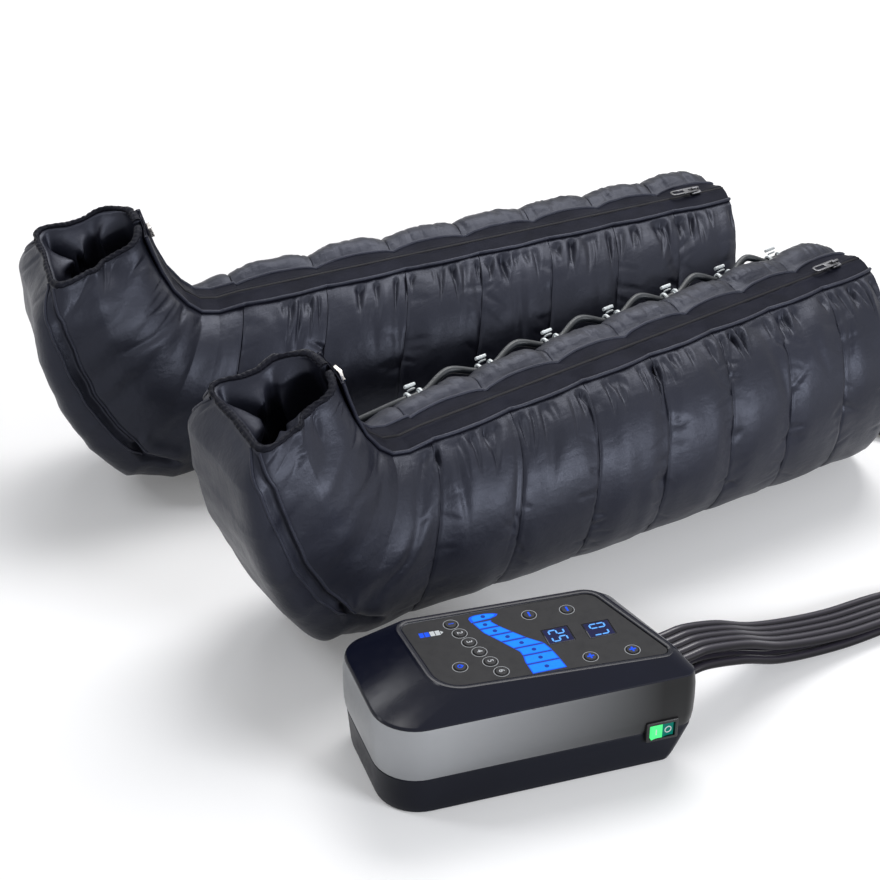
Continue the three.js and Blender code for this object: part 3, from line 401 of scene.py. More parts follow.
# Each finish: how it is made, its colour or the setting that holds it, and its values
FINISHES = {
    "satin nylon": (nylon, "cloth_colour", {}),
    # Piping: the satin nylon at 1.4 times its level, a painted highlight on the raised cord
    "satin piping": (nylon, "cloth_colour", dict(roughness=0.4, level=1.4)),
    "zip tape cloth": (woven, (0.0065, 0.0068, 0.012), dict(ribs=260, roughness=0.6)),
    "edge binding": (woven, (0.009, 0.0092, 0.013), dict(ribs=500, roughness=0.42)),
    "zip coil": (moulded, (0.007, 0.007, 0.01), dict(roughness=0.45, gloss=0.12)),
    "air hose": (rubber, "hose_colour", dict(roughness=0.38, coat=0.12)),
    # The hose band: painted shade in the grooves between its tubes
    "hose band": (rubber, "band_colour", dict(roughness=0.34, coat=1.0, gloss=0.14, tube=TUBE_ARC)),
    "hose connector": (moulded, (0.78, 0.83, 0.85), dict(roughness=0.25, grain=700, coat=0.3)),
    "hose plug": (moulded, (0.02, 0.02, 0.026), dict(roughness=0.5)),
    "dark zip metal": (metal, (0.16, 0.16, 0.17), dict(roughness=0.28)),
    "bright zip metal": (metal, (0.9, 0.86, 0.82), dict(roughness=0.16)),
    # The upper case's colour is 2.9 times as light at the unit's left and 0.1 times at its right: painted sheen and
    # shade
    "upper case": (moulded, "case_colour", dict(
        roughness=0.3, grain=1500, depth=0.00002, coat=0.1, metallic=0.75, painted_light_sweep=(0.9716, -0.2365, 0.1367, 0.1, 2.9),
    )),
    "gloss case": (moulded, (0.004, 0.005, 0.013), dict(roughness=0.15, grain=1500, depth=0.00001, gloss=0.2)),
    "lower case": (moulded, (0.005, 0.006, 0.012), dict(roughness=0.32, grain=1500, depth=0.00002, gloss=0.13)),
    "panel film": (moulded, (0.016, 0.016, 0.018), dict(roughness=0.6, grain=2600, depth=0.00004, gloss=0.22)),
    "key film": (moulded, (0.02, 0.02, 0.022), dict(roughness=0.58, grain=2600, depth=0.00004, gloss=0.25)),
    "display window": (moulded, (0.002, 0.003, 0.008), dict(roughness=0.12, grain=900, depth=0.000005, gloss=0.15)),
    "switch black": (moulded, (0.004, 0.004, 0.005), dict(roughness=0.4)),
    "circuit board": (moulded, (0.015, 0.11, 0.045), dict(roughness=0.45, grain=500, depth=0.0001)),
    "pump metal": (metal, (0.36, 0.38, 0.41), dict(roughness=0.35)),
    # These printed marks and rings glow of their own though no lamp is in them: painted light on print
    "printed mark": (lit, (0.56, 0.58, 0.62), {}),
    "white mark": (lit, (0.75, 0.79, 0.82), dict(strength=0.75)),
    "key ring": (lit, (0.5, 0.52, 0.55), dict(strength=0.8)),
    "azure light": (lit, (0.0, 0.27, 1.0), {}),
    "night blue light": (lit, (0.0, 0.002, 0.06), dict(strength=0.9)),
    "blue light": (lit, (0.0, 0.09, 0.95), {}),
    "pale blue light": (lit, (0.12, 0.42, 1.0), dict(strength=1.2)),
    "deep blue light": (lit, (0.0, 0.03, 0.4), dict(strength=0.9)),
    "green light": (lit, (0.1, 1.0, 0.28), dict(strength=1.1)),
    "teal light": (lit, (0.0, 0.17, 0.13), dict(strength=0.9)),
    "pale floor": (backdrop, FLOOR_COLOUR, dict(glow=FLOOR_GLOW, far_glow=FAR_FLOOR_GLOW, bounce=FLOOR_BOUNCE)),
}
MATERIALS = {}


def material(name):
    """A finish of the table, made the first time that a piece asks for it."""
    if name not in MATERIALS:
        maker, colour, values = FINISHES[name]
        if isinstance(colour, str):
            colour = tuple(getattr(bpy.context.scene.boot_looks, colour))
        MATERIALS[name] = maker(Shader(bpy.data.materials.new(name)), colour, **values)
    return MATERIALS[name]


# Shared tools


def metres(values):
    return [v / 1000 for v in values]


def deselect():
    bpy.ops.object.select_all(action="DESELECT")


def activate(obj):
    deselect()
    obj.select_set(True)
    bpy.context.view_layer.objects.active = obj


def named(name):
    """The piece that was just made, with its name."""
    obj = bpy.context.object
    obj.name = obj.data.name = name
    return obj


def settled(obj):
    bpy.ops.object.transform_apply(location=True, rotation=True, scale=True)
    return obj


def measured(points, axis=0):
    """How far each point lies along its row of points."""
    steps = np.cumsum(np.linalg.norm(np.diff(points, axis=axis), axis=-1), axis=axis)
    return np.concatenate([np.zeros_like(np.take(steps, [0], axis)), steps], axis)


def grid(along, around):
    return np.stack(np.broadcast_arrays(along[:, None], around[None]), -1)


def loop_mesh(name, loops, uvs, caps=True):
    """Sides between rows of points in metres, turned to face outwards. Each row is a closed loop."""
    rows, count = loops.shape[:2]
    points = loops.reshape(-1, 3)
    faces = []
    for here in range(0, (rows - 1) * count, count):
        for k in range(count):
            n = (k + 1) % count
            faces.append((here + k, here + count + k, here + count + n, here + n))
    if caps:
        faces += [tuple(range(count - 1, -1, -1)), tuple(range((rows - 1) * count, rows * count))]
    fans = np.array([(face[0], b, c) for face in faces for b, c in zip(face[1:], face[2:])])
    a, b, c = points[fans].transpose(1, 0, 2)
    if np.sum(a * np.cross(b, c)) < 0:
        faces = [tuple(reversed(face)) for face in faces]
    mesh = bpy.data.meshes.new(name)
    mesh.from_pydata(points.tolist(), [], faces)
    layer = mesh.uv_layers.new(name="Cloth")
    index = np.empty(len(mesh.loops), int)
    mesh.loops.foreach_get("vertex_index", index)
    layer.data.foreach_set("uv", uvs.reshape(-1, 2)[index].ravel())
    mesh.shade_smooth()
    obj = bpy.data.objects.new(name, mesh)
    bpy.context.scene.collection.objects.link(obj)
    return obj


def dress(obj, finish, body=BODY, nodes=()):
    """Gives a piece its material and its body, and hides the solids that it stands for."""
    obj.data.materials.clear()
    obj.data.materials.append(material(finish))
    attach(obj, body)
    if nodes:
        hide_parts(*nodes)
    return obj


def smoothed(obj, degrees=35):
    activate(obj)
    bpy.ops.object.shade_smooth_by_angle(angle=math.radians(degrees))
    return obj


def modified(obj, kind, **values):
    activate(obj)
    modifier = obj.modifiers.new(kind.lower(), kind)
    for key, value in values.items():
        setattr(modifier, key, value)
    bpy.ops.object.modifier_apply(modifier=modifier.name)
    return obj


def bevelled(obj, width, segments=3, degrees=30):
    """Rounds the edges of a piece, by a width in millimetres."""
    return modified(
        obj, "BEVEL", width=width / 1000, segments=segments, limit_method="ANGLE", angle_limit=math.radians(degrees),
    )


def block(name, size, place=(0, 0, 0), bevel=0.0, segments=3):
    """A box of a size in millimetres at a place in millimetres, with its edges rounded."""
    deselect()
    bpy.ops.mesh.primitive_cube_add(size=1, location=metres(place))
    obj = named(name)
    obj.scale = metres(size)
    settled(obj)
    return bevelled(obj, bevel, segments) if bevel else obj


def drum(name, radius, length, place=(0, 0, 0), axis="Z", sides=32, bevel=0.0):
    """A cylinder of a radius and a length in millimetres, upright or along X, with its edges rounded."""
    deselect()
    bpy.ops.mesh.primitive_cone_add(
        vertices=sides, radius1=radius / 1000, radius2=radius / 1000, depth=length / 1000,
    )
    obj = named(name)
    obj.rotation_euler = {"Z": (0, 0, 0), "X": (0, RIGHT, 0)}[axis]
    obj.location = metres(place)
    settled(obj)
    return bevelled(obj, bevel, 2) if bevel else obj


def joined(name, pieces):
    activate(pieces[0])
    for piece in pieces:
        piece.select_set(True)
    bpy.ops.object.join()
    return named(name)


def moved(obj, matrix):
    """Moves the piece's mesh by a matrix, and leaves the object at the origin."""
    activate(obj)
    obj.matrix_world = matrix
    return settled(obj)


def cut(obj, cutter):
    modified(obj, "BOOLEAN", operation="DIFFERENCE", object=cutter, solver="EXACT")
    bpy.data.objects.remove(cutter, do_unlink=True)
    return obj


def lofted(name, rings, hollow=False):
    """A ring, extruded from place to place. A hollow one joins its last ring to its first."""
    deselect()
    bpy.ops.mesh.primitive_circle_add(vertices=len(rings[0]), radius=1, fill_type="NOTHING" if hollow else "NGON")
    obj = named(name)
    bpy.ops.object.mode_set(mode="EDIT")
    bm = bmesh.from_edit_mesh(obj.data)
    place = bm.verts.layers.int.new("place")
    for k, vert in enumerate(bm.verts):
        vert[place] = k
    bmesh.update_edit_mesh(obj.data)
    bpy.ops.mesh.select_all(action="SELECT")
    for step, ring in enumerate(rings):
        if step:
            bpy.ops.mesh.extrude_region()
        bm = bmesh.from_edit_mesh(obj.data)
        place = bm.verts.layers.int["place"]
        for vert in bm.verts:
            if vert.select:
                vert.co = Vector(ring[vert[place]]) / 1000
        bmesh.update_edit_mesh(obj.data)
    if hollow:
        select_rims(obj)
        bpy.ops.mesh.bridge_edge_loops()
    bpy.ops.mesh.select_all(action="SELECT")
    bpy.ops.mesh.normals_make_consistent(inside=False)
    put_in_order(obj)
    bpy.ops.object.mode_set(mode="OBJECT")
    return obj


def put_in_order(obj):
    """Sorts points, edges and faces by place in edit mode, because extruding gives them in no fixed order."""
    bm = bmesh.from_edit_mesh(obj.data)
    bm.verts.sort(key=lambda vert: SORT_WAY.dot(vert.co))
    bm.edges.sort(key=lambda edge: SORT_WAY.dot(edge.verts[0].co + edge.verts[1].co))
    bm.faces.sort(key=lambda face: SORT_WAY.dot(face.calc_center_median()))
    bmesh.update_edit_mesh(obj.data)


def select_rims(obj):
    """Selects a mesh's open edges, in edit mode."""
    bpy.ops.mesh.select_all(action="DESELECT")
    bm = bmesh.from_edit_mesh(obj.data)
    for edge in bm.edges:
        edge.select_set(edge.is_boundary)
    bmesh.update_edit_mesh(obj.data)


def slab(name, outline, low, high):
    """A flat outline in millimetres, between two levels."""
    return lofted(name, [[(x, y, z) for x, y in outline] for z in (low, high)])


def quad_ring(corners, inset, radii, z, steps=10):
    """A four-sided ring with round corners, inside the corners."""
    ring = []
    for i, (here, radius) in enumerate(zip(corners, radii)):
        legs = (corners[i - 1], here), (here, corners[(i + 1) % 4])
        out = [math.atan2(b[1] - a[1], b[0] - a[0]) - RIGHT for a, b in legs]
        turn = (out[1] - out[0]) % TURN
        reach = (inset + radius) / math.cos(turn / 2)
        middle = out[0] + turn / 2
        x, y = here[0] - reach * math.cos(middle), here[1] - reach * math.sin(middle)
        for k in range(steps + 1):
            angle = out[0] + turn * k / steps
            ring.append((x + radius * math.cos(angle), y + radius * math.sin(angle), z))
    return ring


def case_ring(inset, z):
    return quad_ring(UNIT_CORNERS, inset, [max(r - inset, 3) for r in UNIT_RADII], z)


def base_ring(inset, z):
    """A ring of the lower case, which draws in under its right-hand end."""
    shift = BASE_DRAW_IN * (1 - min(z, BASE_TOP) / BASE_TOP)
    return quad_ring([(x - shift if x > 0 else x, y) for x, y in UNIT_CORNERS], inset, UNIT_RADII, z)


def panel_ring(inset, z):
    return quad_ring(PANEL_CORNERS, inset, [max(r - inset, 0.35) for r in PANEL_RADII], z)


def panel_place(across, back):
    br, bl, fl, fr = PANEL_CORNERS
    return tuple(
        (fl[k] + (fr[k] - fl[k]) * across) * (1 - back) + (bl[k] + (br[k] - bl[k]) * across) * back for k in (0, 1)
    )


def catmull(points, fine=24):
    """Points along a centripetal curve through the given points, as the solid model samples it."""
    p = np.asarray(points, float)
    out = []
    for i in range(len(p) - 1):
        p1, p2 = p[i], p[i + 1]
        p0 = p[i - 1] if i else 2 * p[0] - p[1]
        p3 = p[i + 2] if i + 2 < len(p) else 2 * p[-1] - p[-2]
        d0, d1, d2 = (max(np.linalg.norm(b - a) ** 0.5, 1e-4) for a, b in ((p0, p1), (p1, p2), (p2, p3)))
        t1 = ((p1 - p0) / d0 - (p2 - p0) / (d0 + d1) + (p2 - p1) / d1) * d1
        t2 = ((p2 - p1) / d1 - (p3 - p1) / (d1 + d2) + (p3 - p2) / d2) * d1
        for t in np.arange(fine) / fine:
            start, end = p1 * (2 * t**3 - 3 * t**2 + 1), p2 * (3 * t**2 - 2 * t**3)
            out.append(start + t1 * (t**3 - 2 * t**2 + t) + end + t2 * (t**3 - t**2))
    return np.array([*out, p[-1]])


def evenly(points, count):
    gone = measured(points)
    want = np.linspace(0, gone[-1], count)
    return np.stack([np.interp(want, gone, points[:, k]) for k in range(3)], -1), want


def swept(name, points, section, count):
    """A section of (side, over) points in metres, swept along points in metres."""
    path, gone = evenly(points, count)
    along = np.gradient(path, axis=0)
    along /= np.linalg.norm(along, axis=1)[:, None]
    side = np.cross([0, 0, 1.0], along)
    side /= np.linalg.norm(side, axis=1)[:, None]
    over = np.cross(along, side)
    loops = path[:, None] + side[:, None] * section[None, :, :1] + over[:, None] * section[None, :, 1:2]
    return loop_mesh(name, loops, grid(gone, measured(section)))


def circle(radius, sides=10):
    angles = (np.arange(sides) + 0.5) / sides * TURN
    return np.stack([np.cos(angles), np.sin(angles)], -1) * radius


# The boot's surface


def ease(low, high, value):
    t = np.clip((value - low) / (high - low), 0, 1)
    return t * t * (3 - 2 * t)


def hump(value, middle, wide):
    return np.exp(-(((value - middle) / wide) ** 2))


def swelling(value, *parts):
    return sum(high * hump(value, middle, wide) for high, middle, wide in parts)


def station(s):
    """The boot's section at places s: -1 at the toe, 0 at the ankle seam, then 1 per leg chamber."""
    s = np.asarray(s, float)
    x = np.interp(s, np.arange(CHAMBERS + 1), SEAMS)
    along = x / LEG
    radius = ANKLE_RADIUS + (THIGH_RADIUS - ANKLE_RADIUS) * along
    lean = LEAN * (1 - along) * radius
    place = (np.clip(s, -1, 0) + 1) * FOOT_STEPS
    share = {key: np.interp(place, np.arange(FOOT_STEPS + 1), v) for key, v in FOOT_SHARES.items()}
    ankle_lean = LEAN * ANKLE_RADIUS
    squared = ease(0, 1, -s * 1.6)
    (top_x, top_z), (low_x, low_z) = TOE_TOP, TOE_LOW
    foot_and_leg = {
        "top_x": (top_x + (ankle_lean - top_x) * share["instep_x"], x + lean),
        "top_z": (top_z + (2 * ANKLE_RADIUS - top_z) * share["instep_z"], 2 * radius),
        "low_x": (low_x + (-low_x - ankle_lean) * share["sole_x"], x - lean),
        "low_z": (low_z * (1 - share["sole_z"]), 0),
        "half": (
            TOE_HALF_WIDTH + (ANKLE_HALF_WIDTH - TOE_HALF_WIDTH) * share["width"],
            0.9 * radius + 10 * np.sin(math.pi * along),
        ),
        "bow": (14 * (1 + s), 14 + 16 * along),
        "corner": (1 + (0.44 - 1) * squared, 1.0),
        "upper": (1 + (0.85 - 1) * squared, 1.0),
        "roll": (-s * 0.15, 0.0),
    }
    return {key: np.where(s < 0, foot, leg) for key, (foot, leg) in foot_and_leg.items()}


def upright(st):
    """The way from a section's lowest place to its top one, in x and z, and how far it is."""
    up = np.stack([st["top_x"] - st["low_x"], st["top_z"] - st["low_z"]], -1)
    length = np.linalg.norm(up, axis=-1)
    return up / length[..., None], length


def boot_point(s, angle, depth):
    """Points of the boot at places s and angles round the section, at a depth below the outside."""
    s, angle, depth = np.broadcast_arrays(np.asarray(s, float), angle, depth)
    st = station(s)
    up, length = upright(st)
    power = np.where(np.sin(angle) < 0, st["corner"], st["upper"])
    across, rise = (np.sign(part) * np.abs(part) ** power for part in (np.cos(angle), np.sin(angle)))
    wide = (st["half"] - depth) * across
    tall = (length / 2 - depth) * rise
    x = (st["top_x"] + st["low_x"]) / 2 + up[..., 0] * tall - st["bow"] * np.cos(angle) ** 2
    z = (st["top_z"] + st["low_z"]) / 2 + up[..., 1] * tall + wide * np.sin(st["roll"])
    return np.stack([x, wide * np.cos(st["roll"]), z], -1)


def leg_axis():
    """The way along the top of the leg, from the ankle to the thigh."""
    top = boot_point(CHAMBERS, RIGHT, 0) - boot_point(0, RIGHT, 0)
    return top / np.linalg.norm(top)


def angle_for(s, y):
    st = station(s)
    return np.arccos(np.sign(y) * np.minimum(1, np.abs(y) / st["half"]) ** (1 / st["upper"]))


def to_row(side, points):
    """From a boot's own millimetres to metres in the row frame."""
    x, y, turn, size = BOOTS[side]
    c, s = math.cos(turn), math.sin(turn)
    px, py, pz = np.moveaxis(np.asarray(points, float) * size, -1, 0)
    return (np.stack([c * px - s * py + x, s * px + c * py + y, pz], -1) - ORIGIN) / 1000


def ripple(seed, u, v):
    """Smooth, uneven waves between about -1 and 1 over two measures."""
    rng = np.random.default_rng(seed)
    total = np.zeros(np.broadcast(u, v).shape)
    for _ in range(7):
        a, b = rng.uniform(-1, 1, 2)
        phase, bend = rng.uniform(0, TURN, 2)
        total += np.sin(TURN * (a * u + b * v) + phase + 1.3 * np.sin(TURN * 0.43 * (b * u - a * v) + bend))
    return total / 4


def pleats(rng, u, v, count, low, high, reach, depth, width, lean):
    """Narrow folds that start at v = 0 and run out along v, spread over u."""
    total = np.zeros(np.broadcast(u, v).shape)
    for _ in range(count):
        centre, long, deep = rng.uniform(low, high), reach * rng.uniform(0.45, 1.25), depth * rng.uniform(0.4, 1.2)
        slant, bend = rng.uniform(-lean, lean), rng.uniform(-0.002, 0.002)
        wide = width * rng.uniform(0.6, 1.5) * np.clip(1.25 - v / long, 0.4, 1.25)
        off = (u - centre - slant * v - bend * v * v) / wide
        fade = 1 - ease(0.45 * long, long, v)
        total += deep * fade * (np.exp(-(off**2)) - 0.2 * np.exp(-(((off - 2.0) / 1.4) ** 2)))
    return total


def cell_angles(s, columns):
    """Angles of the columns from one edge of the zip right round the section to the other."""
    widest = station(s)["half"] * 0.97
    beside_zip = (6, 12, 18, 24, 29, 33, 37, 41, 45, 50, 55, 60, 64.0)
    marks = np.stack([angle_for(s, np.minimum(y, widest)) for y in beside_zip], 0)
    first, last = marks[-1], math.pi - marks[-1]
    around = np.linspace(0, 1, columns + 1)[1:-1]
    sides = first[None] - (TURN - (last - first))[None] * around.reshape(-1, *([1] * first.ndim))
    return np.concatenate([marks, sides, math.pi - marks[::-1] - TURN], 0)


def air_cell(side, name, start, end, rows, columns, seed, foot=False):
    """One padded cell: a crowned shell between two seams, with folds drawn in at the seams and the zip."""
    rng = np.random.default_rng(seed)
    even = np.linspace(0, 1, rows)
    share = (0.5 - 0.5 * np.cos(even * math.pi)) * 0.5 + even * 0.5
    s = start + (end - start) * share
    row = s[None]
    angles = cell_angles(s, columns)
    st = station(s)
    y = np.abs(np.cos(angles)) ** st["upper"] * st["half"]
    away = np.where(np.sin(angles) > 0, ease(TAPE_SIDE, np.minimum(64, st["half"] * 0.97), y), 1.0)
    middle = 6 + 9 * away
    plain = boot_point(row, angles, middle)

    # Measures along the cell and round it, and from the edge of the tape on either side
    u, v = measured(plain, 1), measured(plain, 0)
    long, tall = float(u[:, -1:].mean()), float(v[-1:].mean())
    from_tape = np.minimum(v, v[-1:] - v) - TAPE_EDGE
    first, last = u, u[:, -1:] - u
    seam = last if foot else np.minimum(first, last)

    # Half of the thickness: the crown between the seams, calm where the roll beside the tape lies
    valley = (0.5 + 0.5 * ease(250, 30, from_tape)) * (1 + 0.35 * ripple(seed + 9, v / 70, u / 200))
    calm = 1 - 0.82 * ease(0.15, 0.6, angles)
    drawn = swelling(seam, SEAM_DRAW) * valley + swelling(seam, STITCH_DRAW)
    full = CELL_HALF - drawn * (0.5 + 0.5 * calm)
    if foot:
        full = full - swelling(first, TOE_DRAW)
    if end > CHAMBERS - 0.1:
        full = full - swelling(last, THIGH_DRAW)
    half = CELL_EDGE_HALF + (full - CELL_EDGE_HALF) * away
    swell = np.sin(math.pi * np.clip(share, 0, 1)) ** (0.35 if foot else 0.55)
    half_in = CELL_EDGE_HALF + (3 + 12 * swell[None] - CELL_EDGE_HALF) * away

    # Folds that fall from the tape, slanted ones on the roll, and gathers along the seams
    free = ease(0, 7, from_tape)
    depth = 1.8 * hump(seam, 0, 9) * (1 - away)
    gather = bpy.context.scene.boot_looks.pleat_depth * 1000
    count, deep = (12, 0.5) if foot else (9, 0.95)
    for edge in (v - TAPE_EDGE, v[-1:] - v - TAPE_EDGE):
        fall = pleats(rng, u, edge, count, 0, long, FALL_REACH, gather * deep, width=3.1, lean=0.14)
        fall += pleats(rng, u, edge, 2, 0, long, LONG_FALL_REACH, gather * 0.5, width=8, lean=0.3)
        depth += free * ease(0.55, 0.45, edge / tall) * fall * calm
    slanted = pleats(rng, u + 0.8 * v, v - TAPE_EDGE, 9, 0, long * 1.6, SLANT_REACH, 1.5, width=3.0, lean=0.15)
    depth += free * (1 - calm) * slanted
    rough = 0.5 + 0.5 * ripple(seed + 7, v / 60, u / 300)
    ends = (TAPE_EDGE, tall - TAPE_EDGE)
    for edge in (first, last):
        gathers = pleats(rng, v, edge, int(tall / 22), *ends, GATHER_REACH, gather * 0.5, width=4.2, lean=0.6)
        depth += free * 0.9 * gathers * rough * calm
    billow = ripple(seed + 1, u / 120, v / 150) * 1.5 + ripple(seed + 2, u / 46 + v / 300, v / 120) * 0.8
    depth += free * ease(2, 26, seam) * billow

    sag, drop, seams = 0.0, 0.0, []
    if foot:
        sag = swelling(angles, *RIM_SAGS) * ease(-0.52, -1.0, row)
        drop = 0.0011 * sag * ease(-0.75, -1.0, row)
        crease = ripple(seed + 3, (u + v * 0.5) / 40, (v - u * 0.3) / 95)
        depth += free * ease(0, 30, seam) * crease * 0.8
        toe_pleats = pleats(rng, v, first, 16, *ends, TOE_REACH, 2.0, width=4.4, lean=0.5)
        depth += free * hump(first, 0, 26) * toe_pleats
        fade = (ease(-0.22, -0.33, s) * ease(0, 12, u.mean(0)))[None]
        reach = ease(-0.36, -0.31, row) * ease(-0.13, -0.19, row)
        for sign in (1, -1):
            target = np.interp(s, *SOLE_SEAM)
            target = target if sign > 0 else -math.pi - target
            place = np.array([np.interp(-t, -angles[:, r], v[:, r]) for r, t in enumerate(target)])
            off = v - place[None]
            depth += fade * (swelling(off, SOLE_GROOVE) + swelling(np.abs(off), SOLE_PADS))
            heel = off * sign + 6 + 90 * (row + 0.27)
            depth += reach * swelling(heel, *HEEL_TUCK)
            seams.append(place)
    depth = np.clip(depth, HIGHEST_FOLD, DEEPEST_FOLD)
    puffed = 0.76 + 0.24 * np.clip(seam / 26, 0, 1) ** 0.5
    roll = hump(angles, ROLL_ANGLE, ROLL_SPREAD) * ease(1.36, 1.18, angles) * puffed
    roll = roll * (1 + 0.04 * ripple(seed + 8, u / 80, v / 60))
    depth = depth - ROLL_HEIGHT * roll * (ease(-0.3, 0.0, row) if foot else 1.0)
    outer = boot_point(row + drop, angles, middle - half + depth + sag)

    lining = np.clip(ripple(seed + 4, u / 60, v / 70) * 1.6 * free * ease(0, 16, seam), -1.5, 3)
    if foot:
        window = ease(-0.995, -0.9, row) * ease(-0.45, -0.75, row)
        lobes = LOBE_HEIGHT * swelling(angles, *LINING_LOBES)
        lining = lining + lobes * window * (1 + 0.35 * ripple(seed + 6, u / 50, v / 60))
    inner = boot_point(row + drop, angles, middle + half_in + lining + sag)

    every = 2 if foot else 3
    pick = [k for k in range(rows) if k % every == 0 or k == rows - 1][::-1]
    uv_outer = np.stack([u + start * 100, np.maximum(from_tape + TAPE_EDGE, 0)], -1)
    uv_inner = np.stack([u + start * 100, np.maximum(from_tape, 0) + 200], -1)
    loops, uvs = (np.concatenate([a, b[:, pick]], 1) for a, b in ((outer, inner), (uv_outer, uv_inner)))
    obj = loop_mesh(name, to_row(side, loops), uvs / 1000, caps=False)

    # The two thin ends beside the zip, between the outside and the lining
    activate(obj)
    bpy.ops.object.mode_set(mode="EDIT")
    select_rims(obj)
    bpy.ops.mesh.edge_face_add()
    bpy.ops.mesh.select_all(action="DESELECT")
    bpy.ops.object.mode_set(mode="OBJECT")
    return obj, {"outer": outer, "inner": inner, "v": v, "s": s, "seams": seams}


# Trim of the boots


def ribbon(side, name, loops, along, around):
    """Rows of a boot's points in millimetres, with their measures as the cloth's map."""
    return loop_mesh(f"{side}_{name}", to_row(side, loops), grid(along, around) / 1000)


def tape_places(count):
    foot = np.linspace(-1, 0, int(count * 0.3), endpoint=False)
    return np.concatenate([foot, np.linspace(0, CHAMBERS, int(count * 0.7))])


def zip_tape(side):
    """The flat placket, a shallow channel between two piped edges that are drawn in and down at each seam."""
    s = tape_places(TRIM_STEPS)
    sway = np.where(s > 0, np.abs(np.sin(math.pi * s)) ** 0.55, 0.6)
    dip = np.where(s > 0, 2.6 * (1 - sway), 0.3)

    def line(y, run_out, low):
        return boot_point(s, angle_for(s, np.sign(y) * (abs(y) + run_out)), low)

    rows = []
    for under, profile in ((False, PLACKET), (True, PLACKET[::-1])):
        for y, depth in profile:
            outside = ease(8, 24, abs(y))
            run_out = outside * (4.6 * sway - 2.6 if y < 0 else 3.2 * sway - 1.9)
            wave = 0.5 * ripple(5, s * 4, y / 20) * ease(28, 14, abs(y))
            lift = 3.4 * sway * ease(10, 26, y)
            low = 1.6 + dip * outside if under else depth + dip * outside + wave - lift
            rows.append(line(y, run_out, low))
    loops = np.stack(rows, 1)
    around = np.array([y for y, _ in PLACKET] + [60 - y for y, _ in PLACKET[::-1]])
    tape = ribbon(side, "placket", loops, measured(loops[:, 0]), around)
    dress(tape, "zip tape cloth", nodes=[f"{side}_zip_tape"])

    for edge, y, run_out, lift in (
        ("outer", -25.2, 5.4 * sway - 2.4, 0.0), ("inner", 25.2, 4.0 * sway - 1.7, 3.6 * sway),
    ):
        path = line(y, run_out, -0.5 + dip - lift + 0.4 * ripple(9, s * 3, s * 0))
        cord = swept(f"{side}_{edge}_piping", to_row(side, path), circle(0.0021), TRIM_STEPS)
        dress(cord, "satin piping")

    fine = tape_places(COIL_STEPS)
    tooth = np.where(np.arange(len(fine)) % 2 == 0, 0.55, 0.0)
    loops = np.stack([boot_point(fine, angle_for(fine, y), low + tooth * share) for y, low, share in COIL], 1)
    coil = ribbon(side, "zip_coil", loops, measured(loops[:, 0]), np.arange(5.0))
    dress(coil, "zip coil")


def toe_binding(side, foot):
    """The bound edge of the toe opening, puckered between its stitches."""
    gone = foot["v"][:, 0]
    want = np.linspace(0, gone[-1], TRIM_STEPS)
    out, inn = (
        np.stack([np.interp(want, gone, foot[wall][:, 0, k]) for k in range(3)], -1) for wall in ("outer", "inner")
    )
    (up_x, up_z), _ = upright(station(-1.0))
    away = np.cross([up_x, 0, up_z], [0, 1.0, 0])
    away *= np.sign(away[2])
    thick = inn - out
    half = np.linalg.norm(thick, axis=1)[:, None] / 2
    thick /= 2 * half
    still = want * 0
    beat = want / STITCH * TURN
    pucker = 0.7 * np.sin(beat + 2 * ripple(22, want / 30, still)) + 1.2 * ripple(21, want / 22, still)
    loops = []
    for across, high in BINDING:
        swollen = across * (1 + 0.12 * np.sin(beat + high))[:, None]
        lift = high + pucker * max(0.0, high - 1) / 5
        loops.append((out + inn) / 2 + thick * (half + 0.3) * swollen + away * lift[:, None])
    obj = ribbon(side, "rim_binding", np.stack(loops, 1), want, np.arange(8.0) * 2)
    dress(obj, "edge binding", nodes=[f"{side}_toe_binding"])


def sole_piping(side, foot):
    """Two rows of piping on either side of the sole, from the toe opening to the heel."""
    outer, v = foot["outer"], foot["v"]
    last = int(np.searchsorted(foot["s"], SOLE_END))
    for edge, place in zip(("outer", "inner"), foot["seams"]):
        for row, shift in (("a", -6.2), ("b", 6.2)):
            line = np.array([
                [np.interp(place[r] + shift, v[:, r], outer[:, r, k]) for k in range(3)] for r in range(2, last, 3)
            ])
            cord = swept(f"{side}_sole_piping_{edge}_{row}", to_row(side, line), circle(0.0019), SOLE_STEPS)
            dress(cord, "satin piping")


